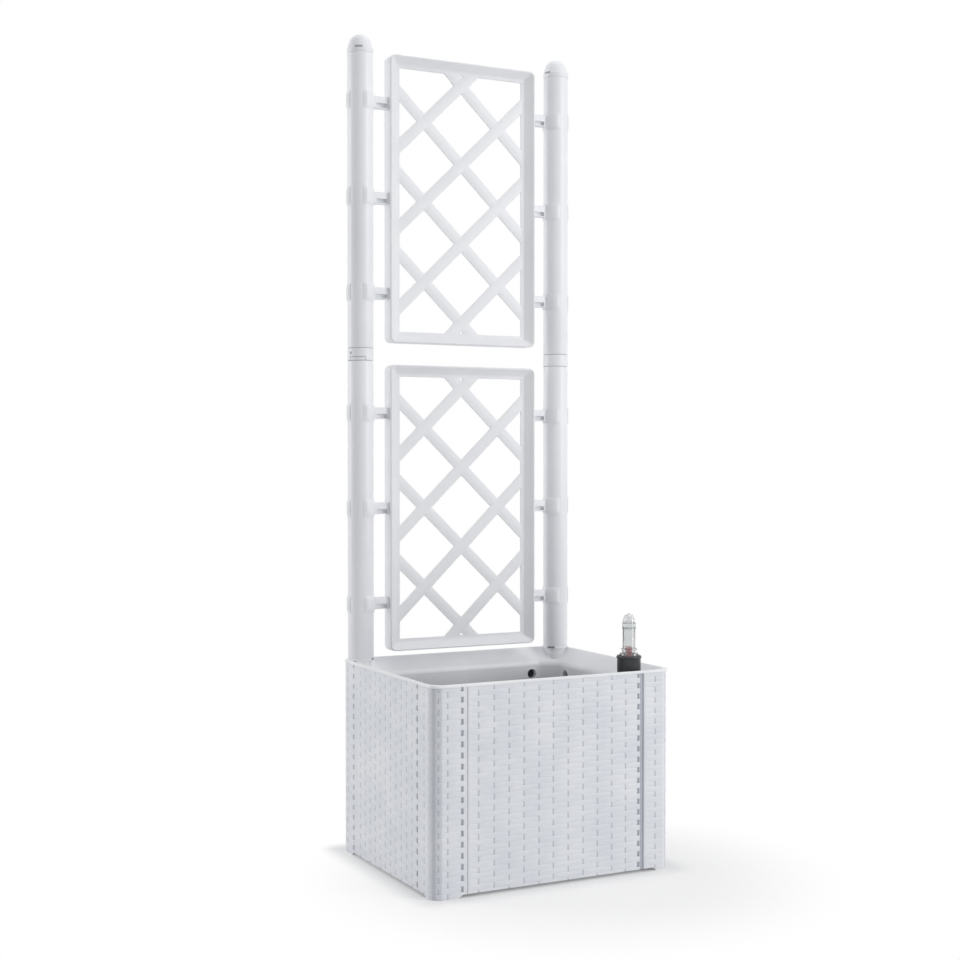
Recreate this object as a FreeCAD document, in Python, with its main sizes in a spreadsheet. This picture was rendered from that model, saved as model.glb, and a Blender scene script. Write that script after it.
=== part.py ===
import FreeCAD, Part
import math
import os
import re
import Sketcher
from FreeCAD import Placement, Rotation, Vector

# A square planter box with a two-panel trellis and a water level indicator.
# Millimetres, +Z up, +Y to the back. The origin is on the floor, under the middle of the
# box. Four corner columns and four walls slide together with tongues and slots, a liner
# hangs in them by its rim, and two round posts stand in the back columns.

SIZES = (
    # the box outside
    ("box_width", 430),
    ("box_depth", 360),
    ("rim_height", 326),
    ("corner_radius", 15.5),
    ("inner_radius", 12.5),
    ("ground_gap", 5),
    ("skin", 3),
    ("corner_right_leg", 59),
    ("corner_left_leg", 53),
    ("foot_right", 43),
    ("foot_left", 27),
    # the tongue and slot seams
    ("seam_gap", 0.6),
    ("slot_depth", 8.5),
    ("slot_width", 3),
    ("slot_lip", 2.5),
    ("slot_web", 3),
    ("tongue_reach", 7.5),
    ("tongue_root", 7),
    ("tongue_thickness", 2.6),
    ("tongue_gap", 0.2),
    ("rebate", 8),
    # the floor of the box
    ("ledge_depth", 16),
    ("ledge_thickness", 3),
    ("plate_thickness", 3),
    ("plate_gap", 0.3),
    ("drain_length", 120),
    ("drain_width", 12),
    ("drain_pitch", 80),
    # the liner
    ("rim_band", 4.5),
    ("rim_lip", 4),
    ("flange_reach", 25),
    ("flange_drop", 25),
    ("tub_wall", 2.5),
    ("front_cut", 14),
    ("back_cut_x", 30),
    ("back_cut_y", 20),
    # the screws that tie the liner to the walls
    ("screw_inset_x", 75.4),
    ("screw_inset_y", 68),
    ("front_screw_inset", 107),
    ("screw_drop", 45),
    ("cup_radius", 12),
    ("cup_bore", 8),
    ("cup_reach", 10),
    ("boss_radius", 6.5),
    ("screw_radius", 2),
    ("screw_play", 0.1),
    ("screw_grip", 6),
    ("head_radius", 7),
    ("head_height", 3),
    # the soil shelf over the water
    ("shelf_height", 60),
    ("shelf_thickness", 2.5),
    ("shelf_gap", 0.5),
    ("leg_radius", 15),
    ("leg_bore", 12.5),
    ("leg_inset_x", 66),
    ("leg_inset_y", 71),
    ("weep_radius", 3),
    ("weep_pitch", 40),
    # the filler shaft and the indicator in it
    ("shaft_inset_x", 61.5),
    ("shaft_inset_y", 31),
    ("shaft_radius", 19),
    ("shaft_wall", 1.5),
    ("shaft_drop", 8),
    ("shaft_play", 0.6),
    ("bay_wall", 2),
    ("notch_width", 12),
    ("notch_height", 14),
    ("collar_radius", 19.25),
    ("collar_flare", 20.5),
    ("collar_height", 30),
    ("collar_plug", 18),
    ("collar_bore", 15.4),
    ("collar_seat", 5),
    ("collar_seat_radius", 17.1),
    ("guide_thickness", 3),
    ("guide_lip", 2),
    ("indicator_fit", 0.1),
    ("glass_base", 4),
    ("glass_step_radius", 15),
    ("glass_step", 5),
    ("glass_neck_radius", 11.5),
    ("glass_neck", 4.5),
    ("glass_flange_radius", 13),
    ("glass_flange", 3),
    ("glass_radius", 10.25),
    ("glass_bore", 9),
    ("glass_length", 34.5),
    ("bead_radius", 11.2),
    ("bead_height", 10),
    ("bead_lap", 3),
    ("bead_fit", 0.05),
    ("dome_height", 15.5),
    ("dome_wall", 1.6),
    ("rod_radius", 2.5),
    ("guide_play", 0.08),
    ("float_radius", 12.5),
    ("float_height", 40),
    ("float_rise", 0.3),
    ("marker_rise", 12),
    ("marker_length", 18),
    ("marker_radius", 5.5),
    ("marker_waist", 3.6),
    ("marker_foot", 4),
    ("marker_head", 8),
    ("marker_cover", 10),
    # the posts
    ("total_height", 1384),
    ("post_inset", 24.5),
    ("post_radius", 22),
    ("post_wall", 2.5),
    ("plug_fit", 0.2),
    ("plug_length", 36),
    ("plug_bore", 14),
    ("socket_radius", 18.4),
    ("socket_bore", 16),
    ("socket_depth", 71.5),
    ("socket_rib", 3),
    ("spigot_radius", 15.8),
    ("spigot_length", 70),
    ("base_radius", 22.7),
    ("base_flange", 3),
    ("coupler_lift", 5),
    ("coupler_height", 22),
    ("coupler_radius", 22.2),
    ("cap_height", 32),
    ("cap_skirt", 8),
    ("cap_radius", 22.7),
    ("dome_foot", 20.6),
    ("dome_shoulder", 17.5),
    ("dome_shoulder_drop", 10),
    ("dome_flat", 6),
    ("dome_round", 5),
    # the trellis panels
    ("panel_width", 281),
    ("panel_height", 490),
    ("panel_depth", 28),
    ("panel_round", 10),
    ("panel_lift", 12),
    ("panel_gap", 38),
    ("panel_rim", 2.5),
    ("panel_slope_x", 13.5),
    ("panel_slope_z", 11),
    ("lattice_thickness", 4),
    ("lattice_border", 6),
    ("lattice_pitch_x", 143.5),
    ("lattice_pitch_z", 138),
    ("bar_width", 19.3),
    ("bar_bite", 1),
    ("gusset_drop", 19),
    ("gusset_neck", 15),
    ("gusset_foot", 31),
    ("tie_hole_radius", 2.75),
    ("tie_hole_drop", 2.5),
    # the clips between the posts and the panels
    ("clip_pitch", 162),
    ("clip_height", 29),
    ("clip_wall", 2.1),
    ("clip_play", 0.05),
    ("clip_mouth_middle", -118),
    ("clip_mouth_half", 25),
    ("arm_height", 20),
    ("arm_depth", 14),
    ("arm_slot", 4.5),
    ("arm_slot_drop", 3),
    ("arm_slot_inset", 4),
    ("pin_radius", 4),
    ("pin_length", 11),
    ("pin_play", 0.1),
)

doc = FreeCAD.newDocument("planter_with_trellis")
sheet = doc.addObject("Spreadsheet::Sheet", "sizes")
for row, (alias, number) in enumerate(SIZES, start=1):
    sheet.set(f"A{row}", alias.replace("_", " "))
    sheet.set(f"B{row}", str(number))
    sheet.setAlias(f"B{row}", alias)
doc.recompute()

ALIASES = re.compile(r"\b(" + "|".join(alias for alias, number in SIZES) + r")\b")
UP = Vector(0, 0, 1)
STARTING_RADIUS = 100
NEAR = 0.01
PARTS = []

# heights that several pieces share, written with the sheet's names
WALL_TOP = "(rim_height - rim_band)"
PLATE_TOP = "(ground_gap + ledge_thickness + plate_thickness)"
TUB_BOTTOM = f"({PLATE_TOP} + plate_gap)"
TUB_FLOOR = f"({TUB_BOTTOM} + tub_wall)"
TUB_HALF_X = "(box_width / 2 - rim_lip - flange_reach)"
TUB_HALF_Y = "(box_depth / 2 - rim_lip - flange_reach)"
SLOPE_FOOT = "(rim_height - flange_drop)"
POST_X = "(box_width / 2 - post_inset)"
POST_Y = "(box_depth / 2 - post_inset)"
SHAFT_X = "(box_width / 2 - shaft_inset_x)"
SHAFT_Y = "(shaft_inset_y - box_depth / 2)"
SHAFT_TOP = "(rim_height - shaft_drop)"
COLLAR_TOP = f"({SHAFT_TOP} + collar_height)"
GLASS_FOOT = f"({COLLAR_TOP} - collar_seat)"
GLASS_TOP = (
    f"({GLASS_FOOT} + glass_base + glass_step + glass_neck + glass_flange + glass_length)"
)
POST_FOOT = "(rim_height + base_flange)"
LOWER_PANEL = "(rim_height + panel_lift + panel_height / 2)"
UPPER_PANEL = f"({LOWER_PANEL} + panel_height + panel_gap)"
COUPLER_FOOT = f"({LOWER_PANEL} + panel_height / 2 + coupler_lift)"
COUPLER_TOP = f"({COUPLER_FOOT} + coupler_height)"
CAP_FOOT = "(total_height - cap_height)"
DOME_FOOT = f"({CAP_FOOT} + cap_skirt)"
TUBE_FIT = "(post_radius - post_wall - plug_fit)"


def bind(thing, place, words):
    """Ties one property to an expression in the sheet's names."""
    thing.setExpression(place, ALIASES.sub(r"sizes.\1", words))


def new_body(label):
    return doc.addObject("PartDesign::Body", label)


def finished(thing, label):
    """Marks an object as a sub-part of the planter."""
    thing.Label = label
    PARTS.append(thing)
    return thing


def place(thing, x="0", y="0", z="0", turn=0, axis=UP):
    """Puts an object at a point of the sheet, turned by whole degrees."""
    thing.Placement = Placement(Vector(), Rotation(axis, turn))
    bind(thing, "Placement.Base.x", x)
    bind(thing, "Placement.Base.y", y)
    bind(thing, "Placement.Base.z", z)
    return thing


def new_sketch(body, name, role, lift):
    sketch = body.newObject("Sketcher::SketchObject", f"{body.Name}_{name}")
    plane = [part for part in body.Origin.OriginFeatures if part.Role == role][0]
    sketch.AttachmentSupport = (plane, "")
    sketch.MapMode = "FlatFace"
    bind(sketch, "AttachmentOffset.Base.z", lift)
    return sketch


def fix_point(sketch, geometry, point, name, x, y, now):
    """Fixes one point of a sketch at x, y from the sketch's origin."""
    for way, words, number in (("X", x, now.x), ("Y", y, now.y)):
        rule = Sketcher.Constraint(f"Distance{way}", -1, 1, geometry, point, number)
        title = f"{name}_{way.lower()}"
        sketch.renameConstraint(sketch.addConstraint(rule), title)
        bind(sketch, f"Constraints.{title}", words)


def outline(body, name, role, corners, lift="0"):
    """A closed sketch of straight sides through the corners."""
    sketch = new_sketch(body, name, role, lift)
    count = len(corners)
    start = []
    for index in range(count):
        angle = 2 * math.pi * index / count
        start.append(Vector(math.cos(angle), math.sin(angle), 0) * STARTING_RADIUS)
    for index in range(count):
        side = Part.LineSegment(start[index], start[(index + 1) % count])
        sketch.addGeometry(side, False)
    for index in range(count):
        meet = Sketcher.Constraint("Coincident", index, 2, (index + 1) % count, 1)
        sketch.addConstraint(meet)
    for index, (x, y) in enumerate(corners):
        fix_point(sketch, index, 1, f"corner{index}", x, y, start[index])
    return sketch


def rectangle(low_x, low_y, high_x, high_y):
    return [(low_x, low_y), (high_x, low_y), (high_x, high_y), (low_x, high_y)]


def circles(body, name, role, rings, lift="0"):
    """A sketch of circles, each with a centre and a radius."""
    sketch = new_sketch(body, name, role, lift)
    for index, (x, y, radius) in enumerate(rings):
        centre = Vector(index * STARTING_RADIUS, 0, 0)
        sketch.addGeometry(Part.Circle(centre, UP, 1), False)
        fix_point(sketch, index, 3, f"centre{index}", x, y, centre)
        rule = Sketcher.Constraint("Radius", index, 1)
        sketch.renameConstraint(sketch.addConstraint(rule), f"radius{index}")
        bind(sketch, f"Constraints.radius{index}", radius)
    return sketch


def extrude(kind, body, sketch, length, midplane=False, reverse=False):
    feature = body.newObject(f"PartDesign::{kind}", f"{sketch.Name}_{kind.lower()}")
    feature.Profile = sketch
    feature.SideType = "Symmetric" if midplane else "One side"
    feature.Reversed = reverse
    bind(feature, "Length", length)
    return feature


def pad(body, sketch, length, midplane=False, reverse=False):
    return extrude("Pad", body, sketch, length, midplane, reverse)


def pocket(body, sketch, length, midplane=False, reverse=False):
    return extrude("Pocket", body, sketch, length, midplane, reverse)


def loft(kind, body, first, second):
    feature = body.newObject(f"PartDesign::{kind}", f"{first.Name}_loft")
    feature.Profile = first
    feature.Sections = [second]
    feature.Ruled = True
    return feature


def turned(label, profile, x, y):
    """A body turned about its upright axis from radius and height pairs."""
    body = new_body(label)
    sketch = outline(body, "profile", "XZ_Plane", profile)
    feature = body.newObject("PartDesign::Revolution", f"{label}_turned")
    feature.Profile = sketch
    feature.ReferenceAxis = (sketch, ["V_Axis"])
    feature.Angle = 360
    place(body, x, y)
    return body


def upright_edges(shape, spots):
    """Names of the upright edges that stand at any of the plan positions."""
    names = []
    for index, edge in enumerate(shape.Edges, start=1):
        ends = [corner.Point for corner in edge.Vertexes]
        if len(ends) != 2 or abs(ends[0].z - ends[1].z) < NEAR:
            continue
        for x, y in spots:
            if all(math.hypot(end.x - x, end.y - y) < NEAR for end in ends):
                names.append(f"Edge{index}")
    return names


def fillet(body, base, names, radius):
    feature = body.newObject("PartDesign::Fillet", f"{base.Name}_round")
    feature.Base = (base, names)
    bind(feature, "Radius", radius)
    return feature


def cylinder(name, radius, length, x, y, z, axis=UP):
    """A round bar from x, y, z along an axis."""
    bar = doc.addObject("Part::Cylinder", name)
    bind(bar, "Radius", radius)
    bind(bar, "Height", length)
    place(bar, x, y, z)
    bar.Placement = Placement(bar.Placement.Base, Rotation(UP, axis))
    return bar


def box(name, length, width, height, x, y, z):
    block = doc.addObject("Part::Box", name)
    bind(block, "Length", length)
    bind(block, "Width", width)
    bind(block, "Height", height)
    return place(block, x, y, z)


def joined(name, pieces):
    union = doc.addObject("Part::MultiFuse", name)
    union.Shapes = pieces
    return union


def cut(name, base, tools):
    """The base with every tool taken out of it."""
    difference = doc.addObject("Part::Cut", name)
    difference.Base = base
    difference.Tool = tools[0] if len(tools) == 1 else joined(f"{name}_tools", tools)
    return difference


# ---------------------------------------------------------------- corner columns
# Each column is an angle moulding with a long leg on its right, seen from outside, that
# ends in a slot, and a short leg on its left that ends in a tongue. Its foot stands on
# the floor. The two back columns also hold a round socket for a post.

SLOT_BACK = "(skin + slot_width + slot_lip)"
TONGUE_BACK = "(skin + tongue_gap + tongue_thickness)"
CORNERS = (
    ("corner_front_left", "-box_width / 2", "-box_depth / 2", 0),
    ("corner_front_right", "box_width / 2", "-box_depth / 2", 90),
    ("corner_back_right", "box_width / 2", "box_depth / 2", 180),
    ("corner_back_left", "-box_width / 2", "box_depth / 2", 270),
)


def corner_column(label, x, y, turn):
    body = new_body(label)
    slot_floor = "corner_right_leg - slot_depth"
    tongue_tip = "corner_left_leg + tongue_reach"
    section = outline(body, "section", "XY_Plane", [
        ("0", "0"),
        ("corner_right_leg", "0"),
        ("corner_right_leg", "skin"),
        (slot_floor, "skin"),
        (slot_floor, "skin + slot_width"),
        ("corner_right_leg", "skin + slot_width"),
        ("corner_right_leg", SLOT_BACK),
        (f"{slot_floor} - slot_web", SLOT_BACK),
        (f"{slot_floor} - slot_web", "skin"),
        ("skin", "skin"),
        ("skin", "corner_left_leg - tongue_root"),
        (TONGUE_BACK, "corner_left_leg - tongue_root"),
        (TONGUE_BACK, tongue_tip),
        ("skin + tongue_gap", tongue_tip),
        ("skin + tongue_gap", "corner_left_leg - seam_gap"),
        ("0", "corner_left_leg - seam_gap"),
    ])
    column = pad(body, section, WALL_TOP)
    doc.recompute()
    outer = upright_edges(column.Shape, [(0, 0)])
    column = fillet(body, column, outer, "corner_radius")
    doc.recompute()
    skin = float(sheet.get("skin"))
    inner = upright_edges(column.Shape, [(skin, skin)])
    fillet(body, column, inner, "inner_radius")

    reach = f"{SLOT_BACK} + skin"
    right_notch = rectangle("foot_right", "-skin", "corner_right_leg + skin", reach)
    left_notch = rectangle("-skin", "foot_left", reach, f"{tongue_tip} + skin")
    for name, notch in (("right_notch", right_notch), ("left_notch", left_notch)):
        pocket(body, outline(body, name, "XY_Plane", notch), "ground_gap", reverse=True)

    rebate = outline(body, "rebate", "XY_Plane", [
        ("skin + corner_radius", "skin"),
        ("corner_right_leg + skin", "skin"),
        ("corner_right_leg + skin", reach),
        (reach, reach),
        (reach, f"{tongue_tip} + skin"),
        ("skin", f"{tongue_tip} + skin"),
        ("skin", "skin + corner_radius"),
    ], WALL_TOP)
    pocket(body, rebate, "rebate")

    if "back" in label:
        lift = f"{WALL_TOP} - socket_depth"
        ring = circles(body, "socket", "XY_Plane", [("post_inset", "post_inset", "socket_radius")], lift)
        pad(body, ring, "socket_depth")
        across = rectangle("skin / 2", "post_inset - socket_rib / 2", "post_inset",
                           "post_inset + socket_rib / 2")
        along = rectangle("post_inset - socket_rib / 2", "skin / 2",
                          "post_inset + socket_rib / 2", "post_inset")
        for name, rib in (("rib_across", across), ("rib_along", along)):
            pad(body, outline(body, name, "XY_Plane", rib, lift), "socket_depth")
        bore_ring = [("post_inset", "post_inset", "socket_bore")]
        bore = circles(body, "bore", "XY_Plane", bore_ring, WALL_TOP)
        pocket(body, bore, "socket_depth")
    finished(place(body, x, y, turn=turn), label)


for column_label, column_x, column_y, column_turn in CORNERS:
    corner_column(column_label, column_x, column_y, column_turn)

# ---------------------------------------------------------------- walls
# Each wall is a flat panel with a tongue at its left end, seen from outside, and a slot
# at its right end. Inside it has a ledge for the floor plate and two screw bosses.

WALL_HALF_X = "box_width / 2 - corner_right_leg"
WALL_HALF_Y = "box_depth / 2 - corner_right_leg"
NEAR_SCREW_X = "screw_inset_x - corner_right_leg"
FAR_SCREW_X = "box_width - screw_inset_x - corner_right_leg"
FRONT_SCREW_X = "box_width - front_screw_inset - corner_right_leg"
SCREWS_Y = ("screw_inset_y - corner_right_leg", "box_depth - screw_inset_y - corner_right_leg")
WALLS = (
    ("wall_front", f"-({WALL_HALF_X})", "-box_depth / 2", 0, "box_width",
     (NEAR_SCREW_X, FRONT_SCREW_X)),
    ("wall_right", "box_width / 2", f"-({WALL_HALF_Y})", 90, "box_depth",
     SCREWS_Y),
    ("wall_back", WALL_HALF_X, "box_depth / 2", 180, "box_width",
     (NEAR_SCREW_X, FAR_SCREW_X)),
    ("wall_left", "-box_width / 2", WALL_HALF_Y, 270, "box_depth",
     SCREWS_Y),
)
BOSS_REACH = "(rim_lip + flange_reach - tub_wall - cup_reach - plate_gap)"


def wall_panel(label, x, y, turn, side, bosses):
    body = new_body(label)
    span = f"({side} - corner_right_leg - corner_left_leg)"
    slot_floor = f"{span} - slot_depth"
    section = outline(body, "section", "XY_Plane", [
        ("seam_gap", "0"),
        (span, "0"),
        (span, "skin"),
        (slot_floor, "skin"),
        (slot_floor, "skin + slot_width"),
        (span, "skin + slot_width"),
        (span, SLOT_BACK),
        (f"{slot_floor} - slot_web", SLOT_BACK),
        (f"{slot_floor} - slot_web", "skin"),
        ("tongue_root", "skin"),
        ("tongue_root", TONGUE_BACK),
        ("-tongue_reach", TONGUE_BACK),
        ("-tongue_reach", "skin + tongue_gap"),
        ("seam_gap", "skin + tongue_gap"),
    ], "ground_gap")
    pad(body, section, f"{WALL_TOP} - ground_gap")
    rebate = rectangle("-tongue_reach - skin", "skin", f"{span} + skin", f"{SLOT_BACK} + skin")
    pocket(body, outline(body, "rebate", "XY_Plane", rebate, WALL_TOP), "rebate")
    ledge = rectangle("tongue_root + slot_depth", "skin / 2",
                      f"{slot_floor} - slot_web", "ledge_depth")
    pad(body, outline(body, "ledge", "XY_Plane", ledge, "ground_gap"), "ledge_thickness")
    screw_height = "rim_height - screw_drop"
    rings = [(spot, screw_height, "boss_radius") for spot in bosses]
    tips = circles(body, "bosses", "XZ_Plane", rings, f"-{BOSS_REACH}")
    pad(body, tips, f"{BOSS_REACH} - skin")
    rings = [(spot, screw_height, "screw_radius + screw_play") for spot in bosses]
    holes = circles(body, "holes", "XZ_Plane", rings, f"-{BOSS_REACH}")
    pocket(body, holes, "screw_grip + skin", reverse=True)
    finished(place(body, x, y, turn=turn), label)


for wall_label, wall_x, wall_y, wall_turn, wall_side, wall_bosses in WALLS:
    wall_panel(wall_label, wall_x, wall_y, wall_turn, wall_side, wall_bosses)

# ---------------------------------------------------------------- floor plate
# A flat plate with drain slots that lies on the ledges of the four walls.

floor_plate = new_body("floor_plate")
plate_half_x = f"(box_width / 2 - {SLOT_BACK} - plate_gap)"
plate_half_y = f"(box_depth / 2 - {SLOT_BACK} - plate_gap)"
plate_outline = outline(
    floor_plate, "outline", "XY_Plane",
    rectangle(f"-{plate_half_x}", f"-{plate_half_y}", plate_half_x, plate_half_y),
    "ground_gap + ledge_thickness",
)
pad(floor_plate, plate_outline, "plate_thickness")
for slot in (-1, 0, 1):
    middle = f"{slot} * drain_pitch"
    slot_outline = outline(
        floor_plate, f"drain{slot + 1}", "XY_Plane",
        rectangle("-drain_length / 2", f"{middle} - drain_width / 2",
                  "drain_length / 2", f"{middle} + drain_width / 2"),
        PLATE_TOP,
    )
    pocket(floor_plate, slot_outline, "plate_thickness")
finished(floor_plate, "floor_plate")

# ---------------------------------------------------------------- liner
# The tub that holds the soil and the water. Its rim covers the tops of the walls and
# slopes down to the tub's walls. The back corners are cut off in front of the posts, and
# a round bay in the front wall leaves room for the filler shaft.


def tub_corners(grow, climb):
    """The tub in plan, grown outwards, and widened by climb where the rim slopes."""
    half_x = f"({TUB_HALF_X} + {grow} + {climb})"
    half_y = f"({TUB_HALF_Y} + {grow} + {climb})"
    cut_x = f"(back_cut_x + {climb} * (1 + back_cut_x / back_cut_y))"
    cut_y = f"(back_cut_y + {climb} * (1 + back_cut_y / back_cut_x))"
    return [
        (f"{half_x} - front_cut", f"-{half_y}"),
        (half_x, f"-{half_y} + front_cut"),
        (half_x, f"{half_y} - {cut_y}"),
        (f"{half_x} - {cut_x}", half_y),
        (f"-{half_x} + {cut_x}", half_y),
        (f"-{half_x}", f"{half_y} - {cut_y}"),
        (f"-{half_x}", f"-{half_y} + front_cut"),
        (f"-{half_x} + front_cut", f"-{half_y}"),
    ]


def liner_screws():
    """Name, place and outward axis of each screw between liner and walls."""
    near_x = "(box_width / 2 - screw_inset_x)"
    near_y = "(box_depth / 2 - screw_inset_y)"
    return [
        ("front_left", f"-{near_x}", "", Vector(0, -1, 0)),
        ("front_right", "box_width / 2 - front_screw_inset", "", Vector(0, -1, 0)),
        ("back_left", f"-{near_x}", "", Vector(0, 1, 0)),
        ("back_right", near_x, "", Vector(0, 1, 0)),
        ("left_front", "", f"-{near_y}", Vector(-1, 0, 0)),
        ("left_back", "", near_y, Vector(-1, 0, 0)),
        ("right_front", "", f"-{near_y}", Vector(1, 0, 0)),
        ("right_back", "", near_y, Vector(1, 0, 0)),
    ]


def screw_bar(name, spot, radius, start, length):
    """A bar on one screw's line, from start outwards past the tub's inner face."""
    title, x, y, axis = spot
    half = TUB_HALF_X if axis.x else TUB_HALF_Y
    outwards = f"({half} + {start})"
    sign = "-" if axis.x + axis.y < 0 else ""
    x = x or f"{sign}{outwards}"
    y = y or f"{sign}{outwards}"
    return cylinder(f"{name}_{title}", radius, length, x, y, "rim_height - screw_drop", axis)


tub = new_body("liner_tub")
band_outline = outline(
    tub, "band", "XY_Plane",
    rectangle("-box_width / 2", "-box_depth / 2", "box_width / 2", "box_depth / 2"),
    WALL_TOP,
)
band = pad(tub, band_outline, "rim_band")
doc.recompute()
half_width = float(sheet.get("box_width")) / 2
half_depth = float(sheet.get("box_depth")) / 2
band_spots = [(x, y) for x in (-half_width, half_width) for y in (-half_depth, half_depth)]
fillet(tub, band, upright_edges(band.Shape, band_spots), "corner_radius")
outside = outline(tub, "outside", "XY_Plane", tub_corners("tub_wall", "0"), TUB_BOTTOM)
pad(tub, outside, f"{SLOPE_FOOT} - {TUB_BOTTOM}")
outside_foot = outline(tub, "outside_foot", "XY_Plane", tub_corners("tub_wall", "0"), SLOPE_FOOT)
outside_top = outline(tub, "outside_top", "XY_Plane", tub_corners("tub_wall", "flange_reach"),
                      "rim_height")
loft("AdditiveLoft", tub, outside_foot, outside_top)
bay_radius = "shaft_radius + shaft_play + bay_wall"
bay = circles(tub, "bay", "XY_Plane", [(SHAFT_X, SHAFT_Y, bay_radius)], TUB_BOTTOM)
pad(tub, bay, f"rim_height - {TUB_BOTTOM}")
inside_foot = outline(tub, "inside_foot", "XY_Plane", tub_corners("0", "0"), SLOPE_FOOT)
inside_top = outline(tub, "inside_top", "XY_Plane", tub_corners("0", "flange_reach"),
                     "rim_height")
loft("SubtractiveLoft", tub, inside_foot, inside_top)
inside = outline(tub, "inside", "XY_Plane", tub_corners("0", "0"), SLOPE_FOOT)
pocket(tub, inside, f"{SLOPE_FOOT} - {TUB_FLOOR}")
bay_bore = circles(tub, "bay_bore", "XY_Plane",
                   [(SHAFT_X, SHAFT_Y, "shaft_radius + shaft_play")], "rim_height")
pocket(tub, bay_bore, f"rim_height - {TUB_FLOOR}")
post_holes = circles(
    tub, "post_holes", "XY_Plane",
    [(POST_X, POST_Y, "socket_bore"), (f"-{POST_X}", POST_Y, "socket_bore")],
    "rim_height",
)
pocket(tub, post_holes, "rim_band")

cups = []
cup_bores = []
for spot in liner_screws():
    cups.append(screw_bar("cup", spot, "cup_radius", "tub_wall / 2", "tub_wall / 2 + cup_reach"))
    cup_bores.append(screw_bar("cup_bore", spot, "cup_bore", "-tub_wall", "tub_wall + cup_reach"))
    cup_bores.append(screw_bar("cup_hole", spot, "screw_radius + screw_play", "0",
                               "cup_reach + 2 * tub_wall"))
liner = cut("liner", joined("liner_with_cups", [tub] + cups), cup_bores)
finished(liner, "liner")

screws = []
for spot in liner_screws():
    head = screw_bar("head", spot, "head_radius", "cup_reach - head_height", "head_height")
    shank_length = "tub_wall + plate_gap + screw_grip"
    shank = screw_bar("shank", spot, "screw_radius", "cup_reach", shank_length)
    screws.append(joined(f"screw_{spot[0]}", [head, shank]))
liner_screw_set = doc.addObject("Part::Compound", "liner_screws")
liner_screw_set.Links = screws
finished(liner_screw_set, "liner_screws")

# ---------------------------------------------------------------- soil shelf
# A perforated shelf on hollow legs keeps the soil above the water at the tub's bottom.

shelf = new_body("soil_shelf")
shelf_outline = outline(shelf, "outline", "XY_Plane", tub_corners("-shelf_gap", "0"),
                        f"{TUB_FLOOR} + shelf_height")
pad(shelf, shelf_outline, "shelf_thickness")
leg_x = f"({TUB_HALF_X} - leg_inset_x)"
leg_y = f"({TUB_HALF_Y} - leg_inset_y)"
leg_spots = [(x, y) for x in (f"-{leg_x}", "0", leg_x) for y in (f"-{leg_y}", leg_y)]
legs = circles(shelf, "legs", "XY_Plane", [(x, y, "leg_radius") for x, y in leg_spots],
               TUB_FLOOR)
pad(shelf, legs, "shelf_height + shelf_thickness / 2")
leg_bores = circles(shelf, "leg_bores", "XY_Plane", [(x, y, "leg_bore") for x, y in leg_spots],
                    TUB_FLOOR)
pocket(shelf, leg_bores, "shelf_height", reverse=True)
weep_rings = []
for column in (-3, -1, 1, 3):
    for line in (-2, -1, 0, 1, 2):
        weep_rings.append((f"{column} * weep_pitch / 2", f"{line} * weep_pitch", "weep_radius"))
weeps = circles(shelf, "weeps", "XY_Plane", weep_rings,
                f"{TUB_FLOOR} + shelf_height + shelf_thickness")
pocket(shelf, weeps, "shelf_thickness")
shaft_clear = circles(shelf, "shaft_clear", "XY_Plane",
                      [(SHAFT_X, SHAFT_Y, "shaft_radius + shaft_play")],
                      f"{TUB_FLOOR} + shelf_height + shelf_thickness")
pocket(shelf, shaft_clear, "shelf_thickness + shelf_height")
finished(shelf, "soil_shelf")

# ---------------------------------------------------------------- filler shaft
# A tube that stands on the tub's floor, with notches at its foot that let the water in.

shaft_tube = cylinder("shaft_tube", "shaft_radius", f"{SHAFT_TOP} - {TUB_FLOOR}",
                      SHAFT_X, SHAFT_Y, TUB_FLOOR)
shaft_hollow = cylinder("shaft_hollow", "shaft_radius - shaft_wall", SHAFT_TOP,
                        SHAFT_X, SHAFT_Y, "0")
notch_along = box("notch_along", "4 * shaft_radius", "notch_width",
                  f"{TUB_FLOOR} + notch_height", f"{SHAFT_X} - 2 * shaft_radius",
                  f"{SHAFT_Y} - notch_width / 2", "0")
notch_across = box("notch_across", "notch_width", "4 * shaft_radius",
                   f"{TUB_FLOOR} + notch_height", f"{SHAFT_X} - notch_width / 2",
                   f"{SHAFT_Y} - 2 * shaft_radius", "0")
filler_shaft = cut("filler_shaft", shaft_tube, [shaft_hollow, notch_along, notch_across])
finished(filler_shaft, "filler_shaft")

# ---------------------------------------------------------------- water level indicator
# A collar plugs into the shaft. It carries a guide disc and a clear tube with a domed cap.
# A float on the water carries a rod, and the red marker on the rod shows in the tube.

guide_seat = "(rod_radius + guide_play)"
collar_lip = "(collar_bore - guide_lip)"
guide_foot = f"({SHAFT_TOP} + guide_lip)"
collar = turned("indicator_collar", [
    ("collar_bore", f"{SHAFT_TOP} - collar_plug"),
    ("shaft_radius - shaft_wall - indicator_fit", f"{SHAFT_TOP} - collar_plug"),
    ("shaft_radius - shaft_wall - indicator_fit", SHAFT_TOP),
    ("collar_radius", SHAFT_TOP),
    ("collar_radius", f"{COLLAR_TOP} - collar_seat"),
    ("collar_flare", f"{COLLAR_TOP} - collar_seat + guide_lip / 2"),
    ("collar_flare", f"{COLLAR_TOP} - guide_lip"),
    ("collar_radius", COLLAR_TOP),
    ("collar_seat_radius", COLLAR_TOP),
    ("collar_seat_radius", GLASS_FOOT),
    ("collar_bore", GLASS_FOOT),
    ("collar_bore", guide_foot),
    (collar_lip, guide_foot),
    (collar_lip, SHAFT_TOP),
    ("collar_bore", SHAFT_TOP),
], SHAFT_X, SHAFT_Y)
finished(collar, "indicator_collar")

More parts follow.
